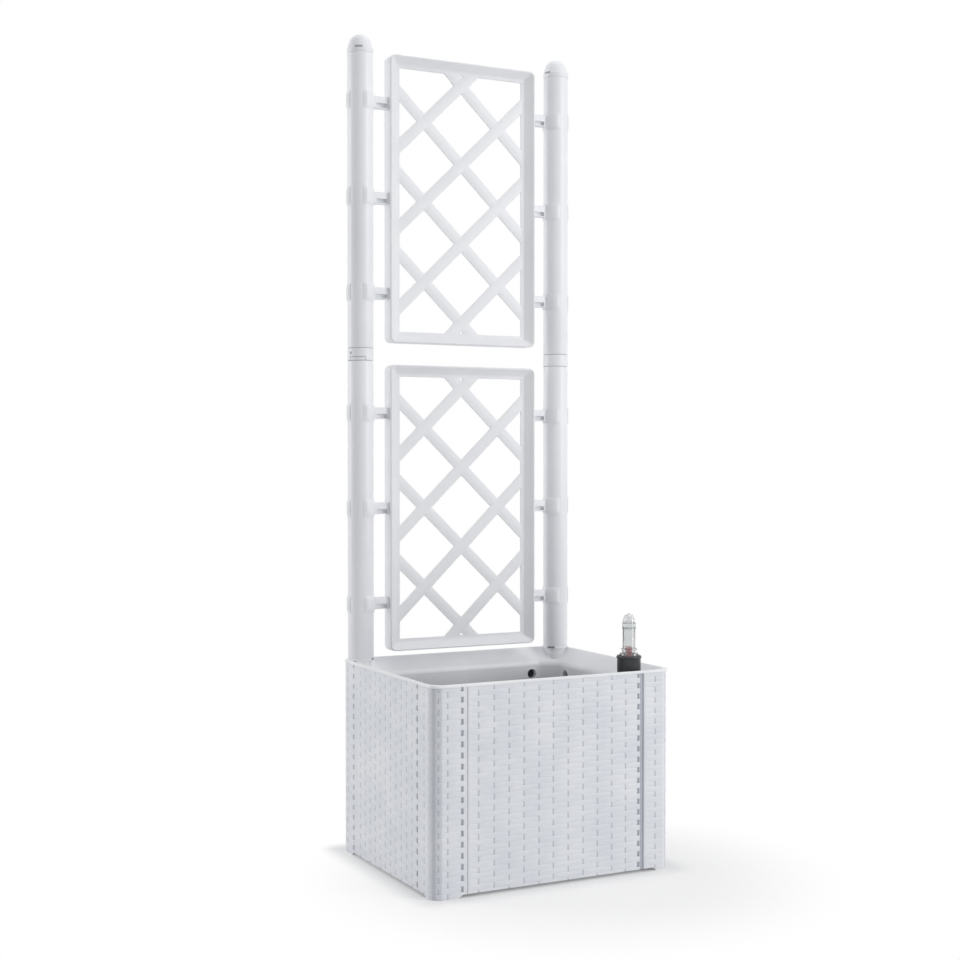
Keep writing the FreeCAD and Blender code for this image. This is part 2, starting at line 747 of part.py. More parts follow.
guide = turned("indicator_guide", [
    (guide_seat, guide_foot),
    ("collar_bore - indicator_fit", guide_foot),
    ("collar_bore - indicator_fit", f"{guide_foot} + guide_thickness"),
    (guide_seat, f"{guide_foot} + guide_thickness"),
], SHAFT_X, SHAFT_Y)
finished(guide, "indicator_guide")

glass_step_foot = f"({GLASS_FOOT} + glass_base)"
glass_neck_foot = f"({glass_step_foot} + glass_step)"
glass_flange_foot = f"({glass_neck_foot} + glass_neck)"
glass_tube_foot = f"({glass_flange_foot} + glass_flange)"
glass = turned("indicator_tube", [
    ("glass_bore", GLASS_FOOT),
    ("collar_seat_radius - indicator_fit", GLASS_FOOT),
    ("collar_seat_radius - indicator_fit", glass_step_foot),
    ("glass_step_radius", glass_step_foot),
    ("glass_step_radius", glass_neck_foot),
    ("glass_neck_radius", glass_neck_foot),
    ("glass_neck_radius", glass_flange_foot),
    ("glass_flange_radius", glass_flange_foot),
    ("glass_flange_radius", glass_tube_foot),
    ("glass_radius", glass_tube_foot),
    ("glass_radius", GLASS_TOP),
    ("glass_bore", GLASS_TOP),
], SHAFT_X, SHAFT_Y)
finished(glass, "indicator_tube")

dome_foot_z = f"({GLASS_TOP} - bead_lap)"
dome_top_z = f"({GLASS_TOP} - bead_lap + bead_height + dome_height)"
dome = turned("indicator_cap", [
    ("glass_radius + bead_fit", dome_foot_z),
    ("bead_radius", dome_foot_z),
    ("bead_radius", f"{dome_foot_z} + bead_height"),
    ("glass_radius", f"{dome_foot_z} + bead_height"),
    ("glass_bore", f"{dome_top_z} - dome_height / 3"),
    ("glass_bore / 2", dome_top_z),
    ("0", dome_top_z),
    ("0", f"{dome_top_z} - dome_wall"),
    ("glass_bore / 2", f"{dome_top_z} - dome_wall"),
    ("glass_bore - dome_wall", f"{dome_top_z} - dome_height / 3"),
    ("glass_bore", f"{dome_foot_z} + bead_height"),
    ("glass_bore", GLASS_TOP),
    ("glass_radius + bead_fit", GLASS_TOP),
], SHAFT_X, SHAFT_Y)
finished(dome, "indicator_cap")

float_foot = f"({TUB_FLOOR} + float_rise)"
float_top = f"({float_foot} + float_height)"
rod_foot = f"({float_top} - marker_cover)"
marker_top = f"({COLLAR_TOP} + marker_rise)"
marker_foot_z = f"({marker_top} - marker_length)"
rod_top = f"({marker_foot_z} + marker_cover)"
float_block = turned("float_block", [
    ("0", float_foot),
    ("float_radius", float_foot),
    ("float_radius", float_top),
    ("rod_radius", float_top),
    ("rod_radius", rod_foot),
    ("0", rod_foot),
], SHAFT_X, SHAFT_Y)
finished(float_block, "float_block")

float_rod = cylinder("float_rod", "rod_radius", f"{rod_top} - {rod_foot}",
                     SHAFT_X, SHAFT_Y, rod_foot)
finished(float_rod, "float_rod")

marker = turned("float_marker", [
    ("rod_radius", marker_foot_z),
    ("marker_radius", marker_foot_z),
    ("marker_radius", f"{marker_foot_z} + marker_foot"),
    ("marker_waist", f"{marker_foot_z} + marker_foot"),
    ("marker_waist", f"{marker_top} - marker_head"),
    ("marker_radius", f"{marker_top} - marker_head"),
    ("marker_radius", marker_top),
    ("0", marker_top),
    ("0", rod_top),
    ("rod_radius", rod_top),
], SHAFT_X, SHAFT_Y)
finished(marker, "float_marker")

# ---------------------------------------------------------------- posts
# Each post stands on a base that plugs into the back column, and is two tubes joined by
# a coupler, with a domed cap on top.

for hand, side_x in (("left", f"-{POST_X}"), ("right", POST_X)):
    spigot_foot = "(rim_height - spigot_length)"
    base = turned(f"post_base_{hand}", [
        ("plug_bore", spigot_foot),
        ("spigot_radius", spigot_foot),
        ("spigot_radius", "rim_height"),
        ("base_radius", "rim_height"),
        ("base_radius", POST_FOOT),
        (TUBE_FIT, POST_FOOT),
        (TUBE_FIT, f"{POST_FOOT} + plug_length"),
        ("plug_bore", f"{POST_FOOT} + plug_length"),
    ], side_x, POST_Y)
    finished(base, f"post_base_{hand}")

    coupler = turned(f"coupler_{hand}", [
        ("plug_bore", f"{COUPLER_FOOT} - plug_length"),
        (TUBE_FIT, f"{COUPLER_FOOT} - plug_length"),
        (TUBE_FIT, COUPLER_FOOT),
        ("coupler_radius", COUPLER_FOOT),
        ("coupler_radius", COUPLER_TOP),
        (TUBE_FIT, COUPLER_TOP),
        (TUBE_FIT, f"{COUPLER_TOP} + plug_length"),
        ("plug_bore", f"{COUPLER_TOP} + plug_length"),
    ], side_x, POST_Y)
    finished(coupler, f"coupler_{hand}")

    for half, foot, top in (("lower", POST_FOOT, COUPLER_FOOT), ("upper", COUPLER_TOP, CAP_FOOT)):
        tube = turned(f"post_{half}_{hand}", [
            ("post_radius - post_wall", foot),
            ("post_radius", foot),
            ("post_radius", top),
            ("post_radius - post_wall", top),
        ], side_x, POST_Y)
        finished(tube, f"post_{half}_{hand}")

    cap = turned(f"post_cap_{hand}", [
        ("plug_bore", f"{CAP_FOOT} - plug_length"),
        (TUBE_FIT, f"{CAP_FOOT} - plug_length"),
        (TUBE_FIT, CAP_FOOT),
        ("cap_radius", CAP_FOOT),
        ("cap_radius", DOME_FOOT),
        ("dome_foot", DOME_FOOT),
        ("dome_shoulder", "total_height - dome_shoulder_drop"),
        ("dome_flat", "total_height"),
        ("0", "total_height"),
        ("0", DOME_FOOT),
        ("plug_bore", DOME_FOOT),
    ], side_x, POST_Y)
    doc.recompute()
    top = cap.Tip.Shape.BoundBox.ZMax
    levels = (top, top - float(sheet.get("dome_shoulder_drop")))
    rounds = []
    for index, edge in enumerate(cap.Tip.Shape.Edges, start=1):
        level = edge.Vertexes[0].Point.z
        if edge.Closed and min(abs(level - height) for height in levels) < NEAR:
            rounds.append(f"Edge{index}")
    fillet(cap, cap.Tip, rounds, "dome_round")
    finished(cap, f"post_cap_{hand}")

# ---------------------------------------------------------------- trellis panels
# Each panel is one moulding: a deep frame whose inner faces slope to a thin lattice in its
# middle plane. Three sockets in each side take the clips' pins.


def trellis_panel(label, middle):
    block = new_body(f"{label}_block")
    half_x = "panel_width / 2"
    half_z = "panel_height / 2"
    face = outline(block, "face", "XZ_Plane",
                   rectangle(f"-{half_x}", f"-{half_z}", half_x, half_z))
    solid = pad(block, face, "panel_depth", midplane=True)
    doc.recompute()
    names = []
    for index, edge in enumerate(solid.Shape.Edges, start=1):
        first, last = [corner.Point for corner in edge.Vertexes]
        if math.hypot(first.x - last.x, first.z - last.z) < NEAR:
            names.append(f"Edge{index}")
    fillet(block, solid, names, "panel_round")

    recesses = []
    for face_name, near in (("front", ("", "2")), ("back", ("2", ""))):
        recess = doc.addObject("Part::Wedge", f"{label}_{face_name}_recess")
        wide_x = f"({half_x} - panel_rim)"
        wide_z = f"({half_z} - panel_rim)"
        for extra, shrink_x, shrink_z in (
            (near[0], "0", "0"),
            (near[1], "panel_slope_x", "panel_slope_z"),
        ):
            bind(recess, f"X{extra}min", f"-({wide_x} - {shrink_x})")
            bind(recess, f"X{extra}max", f"{wide_x} - {shrink_x}")
            bind(recess, f"Z{extra}min", f"-({wide_z} - {shrink_z})")
            bind(recess, f"Z{extra}max", f"{wide_z} - {shrink_z}")
        if face_name == "front":
            bind(recess, "Ymin", "-panel_depth / 2")
            bind(recess, "Ymax", "-lattice_thickness / 2")
        else:
            bind(recess, "Ymin", "lattice_thickness / 2")
            bind(recess, "Ymax", "panel_depth / 2")
        recesses.append(recess)

    open_x = f"({half_x} - panel_rim - panel_slope_x - lattice_border)"
    open_z = f"({half_z} - panel_rim - panel_slope_z - lattice_border)"
    window = box(f"{label}_window", f"2 * {open_x}", "panel_depth", f"2 * {open_z}",
                 f"-{open_x}", "-panel_depth / 2", f"-{open_z}")
    frame = cut(f"{label}_frame", block, recesses + [window])

    bars = new_body(f"{label}_bars")
    rise = "(lattice_pitch_z / lattice_pitch_x)"
    end_x = f"({half_x})"
    thick = f"(bar_width / 2 * sqrt(1 + {rise} * {rise}))"
    for lean in ("", "-"):
        for step in (-3, -1, 1, 3):
            middle_z = f"{step} * lattice_pitch_z / 2"
            climb = f"{lean}{rise} * {end_x}"
            corners = [
                (f"-{end_x}", f"{middle_z} - ({climb}) - {thick}"),
                (end_x, f"{middle_z} + ({climb}) - {thick}"),
                (end_x, f"{middle_z} + ({climb}) + {thick}"),
                (f"-{end_x}", f"{middle_z} - ({climb}) + {thick}"),
            ]
            name = f"bar{'down' if lean else 'up'}{step + 3}"
            bar = outline(bars, name, "XZ_Plane", corners)
            pad(bars, bar, "lattice_thickness", midplane=True)
    reach = f"({open_z} + bar_bite)"
    for sign, name in (("", "gusset_top"), ("-", "gusset_foot")):
        corners = [
            ("-gusset_neck", f"{sign}({open_z} - gusset_drop)"),
            ("gusset_neck", f"{sign}({open_z} - gusset_drop)"),
            ("gusset_foot", f"{sign}{open_z}"),
            ("gusset_foot", f"{sign}{reach}"),
            ("-gusset_foot", f"{sign}{reach}"),
            ("-gusset_foot", f"{sign}{open_z}"),
        ]
        gusset = outline(bars, name, "XZ_Plane", corners)
        pad(bars, gusset, "lattice_thickness", midplane=True)
    trim = box(f"{label}_trim", f"2 * ({open_x} + bar_bite)", "panel_depth", f"2 * {reach}",
               f"-({open_x} + bar_bite)", "-panel_depth / 2", f"-{reach}")
    lattice = doc.addObject("Part::Common", f"{label}_lattice")
    lattice.Base = bars
    lattice.Tool = trim

    holes = []
    for sign in ("", "-"):
        holes.append(cylinder(f"{label}_tie{sign and '_low'}", "tie_hole_radius", "panel_depth",
                              "0", "-panel_depth / 2", f"{sign}({open_z} - tie_hole_drop)",
                              Vector(0, 1, 0)))
        for step in (-1, 0, 1):
            socket = cylinder(f"{label}_pin{step + 1}{sign and '_left'}",
                              "pin_radius + pin_play", "pin_length + pin_play",
                              f"{sign}{half_x}", "0", f"{step} * clip_pitch",
                              Vector(1 if sign else -1, 0, 0))
            holes.append(socket)
    panel = cut(label, joined(f"{label}_whole", [frame, lattice]), holes)
    place(panel, "0", POST_Y, middle)
    finished(panel, label)


trellis_panel("trellis_lower", LOWER_PANEL)
trellis_panel("trellis_upper", UPPER_PANEL)

# ---------------------------------------------------------------- clips
# Each clip is a split ring round the post with a slotted arm and a pin that plugs into a
# panel's side. The right-hand clips are the same moulding, turned upside down.


def clip(label, x, z, turn):
    body = new_body(label)
    inner = "(post_radius + clip_play)"
    outer = f"({inner} + clip_wall)"
    arm_end = f"({POST_X} - panel_width / 2)"
    ring = circles(body, "ring", "XY_Plane", [("0", "0", outer), ("0", "0", inner)])
    pad(body, ring, "clip_height", midplane=True)
    far = f"(2 * {outer})"
    mouth = [("0", "0")]
    for sign in ("-", "+"):
        angle = f"(clip_mouth_middle {sign} clip_mouth_half) * 1 deg"
        mouth.append((f"{far} * cos({angle})", f"{far} * sin({angle})"))
    pocket(body, outline(body, "mouth", "XY_Plane", mouth), "2 * clip_height", midplane=True)
    arm = rectangle(f"{inner} + clip_wall / 2", "-arm_depth / 2", arm_end, "arm_depth / 2")
    pad(body, outline(body, "arm", "XY_Plane", arm), "arm_height", midplane=True)
    slot = rectangle(f"{outer} + arm_slot_inset", "-arm_slot_drop - arm_slot / 2",
                     f"{arm_end} - arm_slot_inset", "-arm_slot_drop + arm_slot / 2")
    pocket(body, outline(body, "slot", "XZ_Plane", slot), "2 * arm_depth", midplane=True)
    pin = circles(body, "pin", "YZ_Plane", [("0", "0", "pin_radius")], arm_end)
    pad(body, pin, "pin_length")
    finished(place(body, x, POST_Y, z, turn=turn, axis=Vector(0, 1, 0)), label)


for hand, clip_x, clip_turn in (("left", f"-{POST_X}", 0), ("right", POST_X, 180)):
    for level, middle in (("lower", LOWER_PANEL), ("upper", UPPER_PANEL)):
        for step in (-1, 0, 1):
            clip_label = f"clip_{level}_{hand}_{step + 2}"
            clip(clip_label, clip_x, f"{middle} + {step} * clip_pitch", clip_turn)

# ---------------------------------------------------------------- checks and files

doc.recompute()
for thing in doc.Objects:
    if "Invalid" in thing.State or "Error" in thing.State:
        raise RuntimeError(f"{thing.Label} did not build: {thing.State}")
for part in PARTS:
    if part.Shape.isNull() or not part.Shape.isValid():
        raise RuntimeError(f"{part.Label} has no valid shape")

os.makedirs("parts", exist_ok=True)
for part in PARTS:
    part.Shape.exportStep(f"parts/{part.Label}.step")
    extent = part.Shape.BoundBox
    print(f"{part.Label:22s} solids {len(part.Shape.Solids)}  volume {part.Shape.Volume:11.1f}  "
          f"x {extent.XMin:7.1f} {extent.XMax:7.1f}  y {extent.YMin:7.1f} {extent.YMax:7.1f}  "
          f"z {extent.ZMin:7.1f} {extent.ZMax:7.1f}")
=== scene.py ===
import bmesh
import bpy
import math
import numpy as np
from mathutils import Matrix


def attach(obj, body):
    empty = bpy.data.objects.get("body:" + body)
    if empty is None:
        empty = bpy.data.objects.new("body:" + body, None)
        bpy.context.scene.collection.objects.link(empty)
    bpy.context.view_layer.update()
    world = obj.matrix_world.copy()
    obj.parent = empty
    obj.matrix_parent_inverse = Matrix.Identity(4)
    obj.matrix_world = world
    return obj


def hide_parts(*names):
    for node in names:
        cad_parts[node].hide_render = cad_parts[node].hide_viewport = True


# A white planter box with a woven look, a water-storing liner, a level indicator and a
# two-panel trellis on round posts. Sizes are in millimetres until a mesh is filled, +Z is
# up, +Y is to the back, and left and right are as seen from the front.

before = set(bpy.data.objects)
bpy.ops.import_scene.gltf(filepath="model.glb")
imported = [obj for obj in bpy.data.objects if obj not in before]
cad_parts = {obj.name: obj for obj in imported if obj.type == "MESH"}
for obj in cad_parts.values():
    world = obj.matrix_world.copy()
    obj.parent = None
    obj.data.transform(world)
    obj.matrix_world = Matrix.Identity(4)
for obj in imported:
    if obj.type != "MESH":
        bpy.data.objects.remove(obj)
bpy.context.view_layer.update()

# ---------------------------------------------------------------- walls
# The four walls are injection-moulded polypropylene. The outer face copies a flat wicker
# weave, and inside are a tongue, a slot, a ledge for the floor plate and two screw bosses.
# A wall slides down between two corner columns.

WIDTH = 430.0
DEPTH = 360.0
RIM = 326.0
BAND = 4.5
WALL_TOP = RIM - BAND
WALL_FOOT = 5.0
SKIN = 3.0
STRAND = 8.5
STRAND_EDGE = 323.55
GROOVE = 0.42
DIVE = 0.85
DIVE_HALF = 1.2
DIVE_PAINTED_SHADE = 0.45
STRONG_DIVE = 1.5
STRONG_HALF = 2.1
BOW = 0.38
BOW_HALF = 7.0
STRIP_SINK = 0.35
DEEP_STRIP_SINK = 2.2
BORDER_WIDE = 5.6
STRIP_PAINTED_SHADE = 0.8
STEP_SOFT = 0.12
TOP_GROOVE = 0.8
TOP_GROOVE_HIGH = 1.2
EDGE_ROUND = 0.9
RIGHT_LEG = 59.0
LEFT_LEG = 53.0
SEAM = 0.6
SLOT_FRONT = 6.0
SLOT_BACK = 8.5
SLOT_DEEP = 8.5
SLOT_WEB = 3.0
TONGUE_FRONT = 3.2
TONGUE_BACK = 5.8
TONGUE_REACH = 7.5
TONGUE_ROOT = 7.0
BITE = 0.4
REBATE = 8.0
LEDGE = 16.0
LEDGE_TOP = 8.0
BOSS = 6.5
BOSS_HOLE = 2.1
BOSS_TIP = 16.2
BOSS_HOLE_END = 7.2
SCREW_Z = 281.0
MOULD_WHITE = "#ebedf1"
MOULD_SHADE = "#e2e5eb"
# the painted shade colour of the dives and the deep strips
DIVE_SHADE = "#a9adb8"
PP_IOR = 1.49


def linear(code):
    """An sRGB hex colour as linear red, green and blue with alpha 1."""
    parts = [int(code[start:start + 2], 16) / 255 for start in (1, 3, 5)]
    return [p / 12.92 if p <= 0.04045 else ((p + 0.055) / 1.055) ** 2.4 for p in parts] + [1]


def add_node(tree, kind, links=(), **settings):
    """Adds a node. links pairs an input with a constant or with another node's output."""
    made = tree.nodes.new(f"ShaderNode{kind}")
    for key, setting in settings.items():
        setattr(made, key, setting)
    for key, value in links:
        if isinstance(value, bpy.types.NodeSocket):
            tree.links.new(value, made.inputs[key])
        else:
            made.inputs[key].default_value = value
    return made


def bare_material(name):
    """A new material, its emptied node tree and its Object coordinates."""
    material = bpy.data.materials.new(name)
    material.use_nodes = True
    tree = material.node_tree
    tree.nodes.clear()
    return material, tree, add_node(tree, "TexCoord").outputs["Object"]


def moulded_polypropylene(name, pale=MOULD_WHITE, shade=MOULD_SHADE, sunk=DIVE_SHADE,
                          roughness=0.42, grain=0.9, cloud=60.0):
    """White spark-eroded plastic: a fine grain, faint flow clouds and painted shade in its
    recesses.

    The colour runs from shade to pale with soft noise, and towards the painted shade colour
    where the piece's own attribute for painted shade is high. The real grain is about 0.2 mm
    and drawn coarser to show.
    """
    material, tree, place = bare_material(name)
    clouds = add_node(tree, "TexNoise", [("Vector", place), ("Scale", 1000 / cloud),
                                         ("Detail", 3.0)])
    flow = add_node(tree, "MapRange", [("Value", clouds.outputs["Fac"]), ("From Min", 0.35),
                                       ("From Max", 0.65)])
    body = add_node(tree, "Mix", [(0, flow.outputs["Result"]), (6, linear(shade)),
                                  (7, linear(pale))], data_type="RGBA")
    # painted shade: the colour runs towards the painted shade colour where the mesh's attribute is
    # high
    painted_shade = add_node(tree, "Attribute", attribute_name="painted_shade")
    painted_shade_mix = add_node(tree, "Mix", [(0, painted_shade.outputs["Fac"]), (6, body.outputs[2]),
                                   (7, linear(sunk))], data_type="RGBA")
    # sharp convex edges are drawn paler, by their pointiness
    edge = add_node(tree, "NewGeometry")
    edge_paling = add_node(tree, "MapRange", [("Value", edge.outputs["Pointiness"]),
                                         ("From Min", 0.53), ("From Max", 0.62),
                                         ("To Max", 0.35)])
    colour = add_node(tree, "Mix", [(0, edge_paling.outputs["Result"]), (6, painted_shade_mix.outputs[2]),
                                    (7, linear("#f4f5f8"))], data_type="RGBA")
    specks = add_node(tree, "TexNoise", [("Vector", place), ("Scale", 1000 / grain),
                                         ("Detail", 2.0)])
    gloss = add_node(tree, "MapRange", [("Value", specks.outputs["Fac"]), ("From Min", 0.3),
                                        ("From Max", 0.7), ("To Min", roughness - 0.05),
                                        ("To Max", roughness + 0.08)])
    bump = add_node(tree, "Bump", [("Height", specks.outputs["Fac"]), ("Strength", 0.18),
                                   ("Distance", 0.0001)])
    shader = add_node(tree, "BsdfPrincipled", [
        ("Base Color", colour.outputs[2]), ("Roughness", gloss.outputs["Result"]),
        ("Normal", bump.outputs["Normal"]), ("IOR", PP_IOR),
    ])
    add_node(tree, "OutputMaterial", [("Surface", shader.outputs["BSDF"])])
    return material


def lattice(points, around=False, along=False, ends=False, painted_shade=None):
    """A grid of points as a shell; each way may close on itself, and open ends be filled."""
    count, length = points.shape[:2]
    index = np.arange(count * length).reshape(count, length)
    caps = [index[0].tolist(), index[-1].tolist()] if ends else []
    if around:
        index = np.concatenate([index, index[:1]])
    if along:
        index = np.concatenate([index, index[:, :1]], axis=1)
    quads = np.stack([index[:-1, :-1], index[1:, :-1], index[1:, 1:], index[:-1, 1:]], axis=-1)
    if painted_shade is None:
        painted_shade = np.zeros((count, length))
    return points.reshape(-1, 3), quads.reshape(-1, 4), caps, painted_shade.reshape(-1)


def close_seams(mesh, reach):
    """Joins the points that lie within reach of each other and turns all faces outward."""
    solid = bmesh.new()
    solid.from_mesh(mesh)
    bmesh.ops.remove_doubles(solid, verts=solid.verts, dist=reach)
    bmesh.ops.recalc_face_normals(solid, faces=solid.faces)
    solid.to_mesh(mesh)
    solid.free()


def piece(name, body, material, nodes, shells, crease=38):
    """Joins shells into one mesh that rides on a body and stands for its CAD nodes."""
    faces = []
    start = 0
    for points, quads, caps, painted_shade in shells:
        faces += (quads + start).tolist()
        faces += [[corner + start for corner in cap] for cap in caps]
        start += len(points)
    mesh = bpy.data.meshes.new(name)
    mesh.from_pydata((np.concatenate([shell[0] for shell in shells]) / 1000).tolist(), [], faces)
    # the attribute holds each point's painted shade, from 0 to 1
    depth = mesh.attributes.new("painted_shade", "FLOAT", "POINT")
    depth.data.foreach_set("value", np.concatenate([shell[3] for shell in shells]))
    close_seams(mesh, 2e-6)
    mesh.polygons.foreach_set("use_smooth", np.ones(len(mesh.polygons), dtype=bool))
    mesh.set_sharp_from_angle(angle=math.radians(crease))
    mesh.materials.append(material)
    made = bpy.data.objects.new(name, mesh)
    bpy.context.scene.collection.objects.link(made)
    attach(made, body)
    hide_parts(*nodes)
    return made


def stations(start, end, marks, widest):
    """Sorted places from start to end that hold the marks, with no gap over widest."""
    marks = np.ravel(marks)
    marks = marks[(marks > start + 0.1) & (marks < end - 0.1)]
    fixed = np.unique(np.concatenate([[start, end], marks]))
    fixed = fixed[np.concatenate([[True], np.diff(fixed) > 0.08])]
    counts = np.maximum(1, np.ceil(np.diff(fixed) / widest)).astype(int)
    spans = [np.linspace(low, high, count, endpoint=False)
             for low, high, count in zip(fixed[:-1], fixed[1:], counts)]
    return np.concatenate(spans + [[end]])


def rounded(corners, radius, steps=4, closed=True):
    """An outline whose corners are arcs that touch the two sides they join."""
    corners = np.asarray(corners, dtype=float)
    radius = np.broadcast_to(np.asarray(radius, dtype=float), len(corners))
    back = np.roll(corners, 1, axis=0) - corners
    ahead = np.roll(corners, -1, axis=0) - corners
    back /= np.linalg.norm(back, axis=1, keepdims=True)
    ahead /= np.linalg.norm(ahead, axis=1, keepdims=True)
    half = np.arccos(np.clip((back * ahead).sum(axis=1), -1, 1)) / 2
    half = np.minimum(half, math.pi / 2 - 1e-4)
    middle = back + ahead
    length = np.maximum(np.linalg.norm(middle, axis=1), 1e-9)
    middle = corners + middle * (radius / np.sin(half) / length)[:, None]
    reach = (radius / np.tan(half))[:, None]
    first = corners + back * reach - middle
    last = corners + ahead * reach - middle
    sweep = math.pi - 2 * half
    part = np.linspace(0, 1, steps + 1)
    near = np.sin(np.outer(sweep, 1 - part)) / np.sin(sweep)[:, None]
    far = np.sin(np.outer(sweep, part)) / np.sin(sweep)[:, None]
    arcs = middle[:, None] + near[..., None] * first[:, None] + far[..., None] * last[:, None]
    if not closed:
        inner = arcs[1:-1].reshape(-1, 2)
        return np.concatenate([corners[:1], inner, corners[-1:]])
    return arcs.reshape(-1, 2)


def prism(outline, low, high):
    """A flat outline carried straight up from low to high and filled at both ends."""
    levels = np.array([low, high], dtype=float)
    flat = np.broadcast_to(np.asarray(outline, dtype=float), (2, len(outline), 2))
    points = np.concatenate([flat, np.broadcast_to(levels[:, None, None],
                                                   (2, len(outline), 1))], axis=2)
    return lattice(points, along=True, ends=True)


def turned(profile, steps=96, closed=False):
    """Radius and height pairs swung once about the upright axis."""
    profile = np.asarray(profile, dtype=float)
    angle = np.linspace(0, 2 * math.pi, steps, endpoint=False)[:, None]
    radius, height = profile[:, 0], profile[:, 1]
    points = np.stack([radius * np.cos(angle), radius * np.sin(angle),
                       np.broadcast_to(height, (steps, len(profile)))], axis=-1)
    return lattice(points, around=True, along=closed)


def moved(shell, x=0.0, y=0.0, z=0.0, turn=0.0, tip=None):
    """A shell tipped so that up becomes the axis tip, turned about Z and then shifted."""
    points = shell[0]
    if tip == "y":
        points = points[:, [0, 2, 1]]
    elif tip == "x":
        points = points[:, [2, 0, 1]]
    angle = math.radians(turn)
    spin = np.array([[math.cos(angle), math.sin(angle), 0],
                     [-math.sin(angle), math.cos(angle), 0], [0, 0, 1]])
    return (points @ spin + np.array([x, y, z]),) + shell[1:]


def weave_sink(along, height, columns):
    """How far the face sinks behind its foremost level, in millimetres, and its painted shade.

    Each strand is a level band, sunk by the fourth power of the distance from its middle.
    At a column every other strand dives, by a flat-bottomed bell narrow along the strand,
    inside a wider bow, and each dive gets painted shade. The last column is deeper, wider
    and has more painted shade.
    """
    rows = (STRAND_EDGE - height) / STRAND
    number = np.floor(rows)
    sink = GROOVE * (2 * (rows - number) - 1) ** 4
    painted_shade = np.zeros_like(sink)
    for order, column in enumerate(columns[::-1]):
        gap = along - column
        diving = (number + order) % 2 == 0
        strong = order == 0
        deep = np.exp(-(gap / (STRONG_HALF if strong else DIVE_HALF)) ** 4)
        drop = (STRONG_DIVE if strong else DIVE) * deep
        sink = sink + np.where(diving, drop + BOW * np.exp(-(gap / BOW_HALF) ** 2), 0)
        # painted shade in each diving strand, full at the last column
        painted_shade = painted_shade + np.where(diving, deep * (1 if strong else DIVE_PAINTED_SHADE), 0)
    return sink, painted_shade


def strand_levels(low, high):
    """Heights that follow every strand's rounding closely."""
    across = np.array([-0.985, -0.9, -0.72, -0.35, 0.35, 0.72, 0.9, 0.985]) / 2
    middles = STRAND_EDGE - STRAND * (np.arange(40) + 0.5)
    marks = np.append((middles[:, None] + across * STRAND).ravel(),
                      high - TOP_GROOVE_HIGH + np.array([-0.25, 0.25]))
    return stations(low, high, marks, STRAND)


def column_marks(columns):
    """Places along the strands that follow every column's dives closely."""
    offsets = np.array([-4.5, -2.6, -1.8, -1.35, -0.9, 0, 0.9, 1.35, 1.8, 2.6, 4.5])
    return np.asarray(columns)[:, None] + offsets


def woven_skin(base, outward, inside, along, height, foot, columns, strip, strip_sink):
    """The 3 mm skin of a wall or column: a woven face outside and a plain face inside.

    base, outward and inside are the face's plan line, its outward directions and the
    inner plan line at the places along. The face is base less outward times the sink.
    It has a smooth border at its left end, a sunk strip at its right end and a shadow
    groove under the liner's rim, each blended in by a steep step.
    """
    sink, painted_shade = weave_sink(along[:, None], height[None, :], columns)
    border = 1 / (1 + np.exp(np.clip((along - BORDER_WIDE) / STEP_SOFT, -50, 50)))[:, None]
    plain = 1 / (1 + np.exp(np.clip((strip - along) / STEP_SOFT, -50, 50)))[:, None]
    sink = sink * (1 - border) * (1 - plain) + strip_sink * plain
    # painted shade on the deep sunk strip at the right end
    painted_shade = painted_shade * (1 - border) * (1 - plain) + plain * (strip_sink > 1) * STRIP_PAINTED_SHADE
    groove = np.clip((height - height[-1] + TOP_GROOVE_HIGH) / 0.5 + 0.5, 0, 1)[None, :]
    sink = np.maximum(sink, TOP_GROOVE * groove)
    for end in (along[0], along[-1]):
        near = np.clip(1 - np.abs(along - end) / EDGE_ROUND, 0, 1)[:, None]
        sink = np.maximum(sink, EDGE_ROUND * (1 - np.sqrt(1 - near ** 2)))
    face = base[:, None, :] - outward[:, None, :] * sink[..., None]
    levels = np.maximum(height[None, :], foot[:, None])
    outside = np.concatenate([face, levels[..., None]], axis=2)
    top = np.concatenate([inside, np.full((len(along), 1), height[-1])], axis=1)
    low = np.concatenate([inside, foot[:, None]], axis=1)
    points = np.concatenate([outside, top[:, None], low[:, None]], axis=1)
    painted_shade = np.concatenate([np.clip(painted_shade, 0, 1), np.zeros((len(along), 2))], axis=1)
    return lattice(points, along=True, ends=True, painted_shade=painted_shade)


def slot_web(end):
    """The slot behind a right-hand end, as an angle in plan."""
    return [(end - SLOT_DEEP - SLOT_WEB, SKIN - BITE), (end - SLOT_DEEP, SKIN - BITE),
            (end - SLOT_DEEP, SLOT_FRONT), (end, SLOT_FRONT), (end, SLOT_BACK),
            (end - SLOT_DEEP - SLOT_WEB, SLOT_BACK)]


# spark-eroded, so matt: the weave reads by its shadows and the painted shade in its dives
woven_white = moulded_polypropylene("white_polypropylene_woven_moulding")
FRONT_COLUMNS = np.array([-137.2, -110.5, -84.4, -58.1, -31.5, -5.8, 21.1, 48.2, 74.6, 101.5,
                          127.5, 152.2]) + 156
SIDE_COLUMNS = np.append(20.9 + 20.55 * np.arange(11), 244.6)
FRONT_STRIP = 311.5
NO_STRIP = 400.0
WALLS = (
    ("wall_front", -156.0, -180.0, 0, 318.0, FRONT_COLUMNS, FRONT_STRIP, (16.4, 264.0)),
    ("wall_right", 215.0, -121.0, 90, 248.0, SIDE_COLUMNS, NO_STRIP, (9.0, 233.0)),
    ("wall_back", 156.0, 180.0, 180, 318.0, FRONT_COLUMNS, FRONT_STRIP, (16.4, 295.6)),
    ("wall_left", -215.0, 121.0, 270, 248.0, SIDE_COLUMNS, NO_STRIP, (9.0, 233.0)),
)
STEP_MARKS = np.array([-0.4, 0, 0.4])
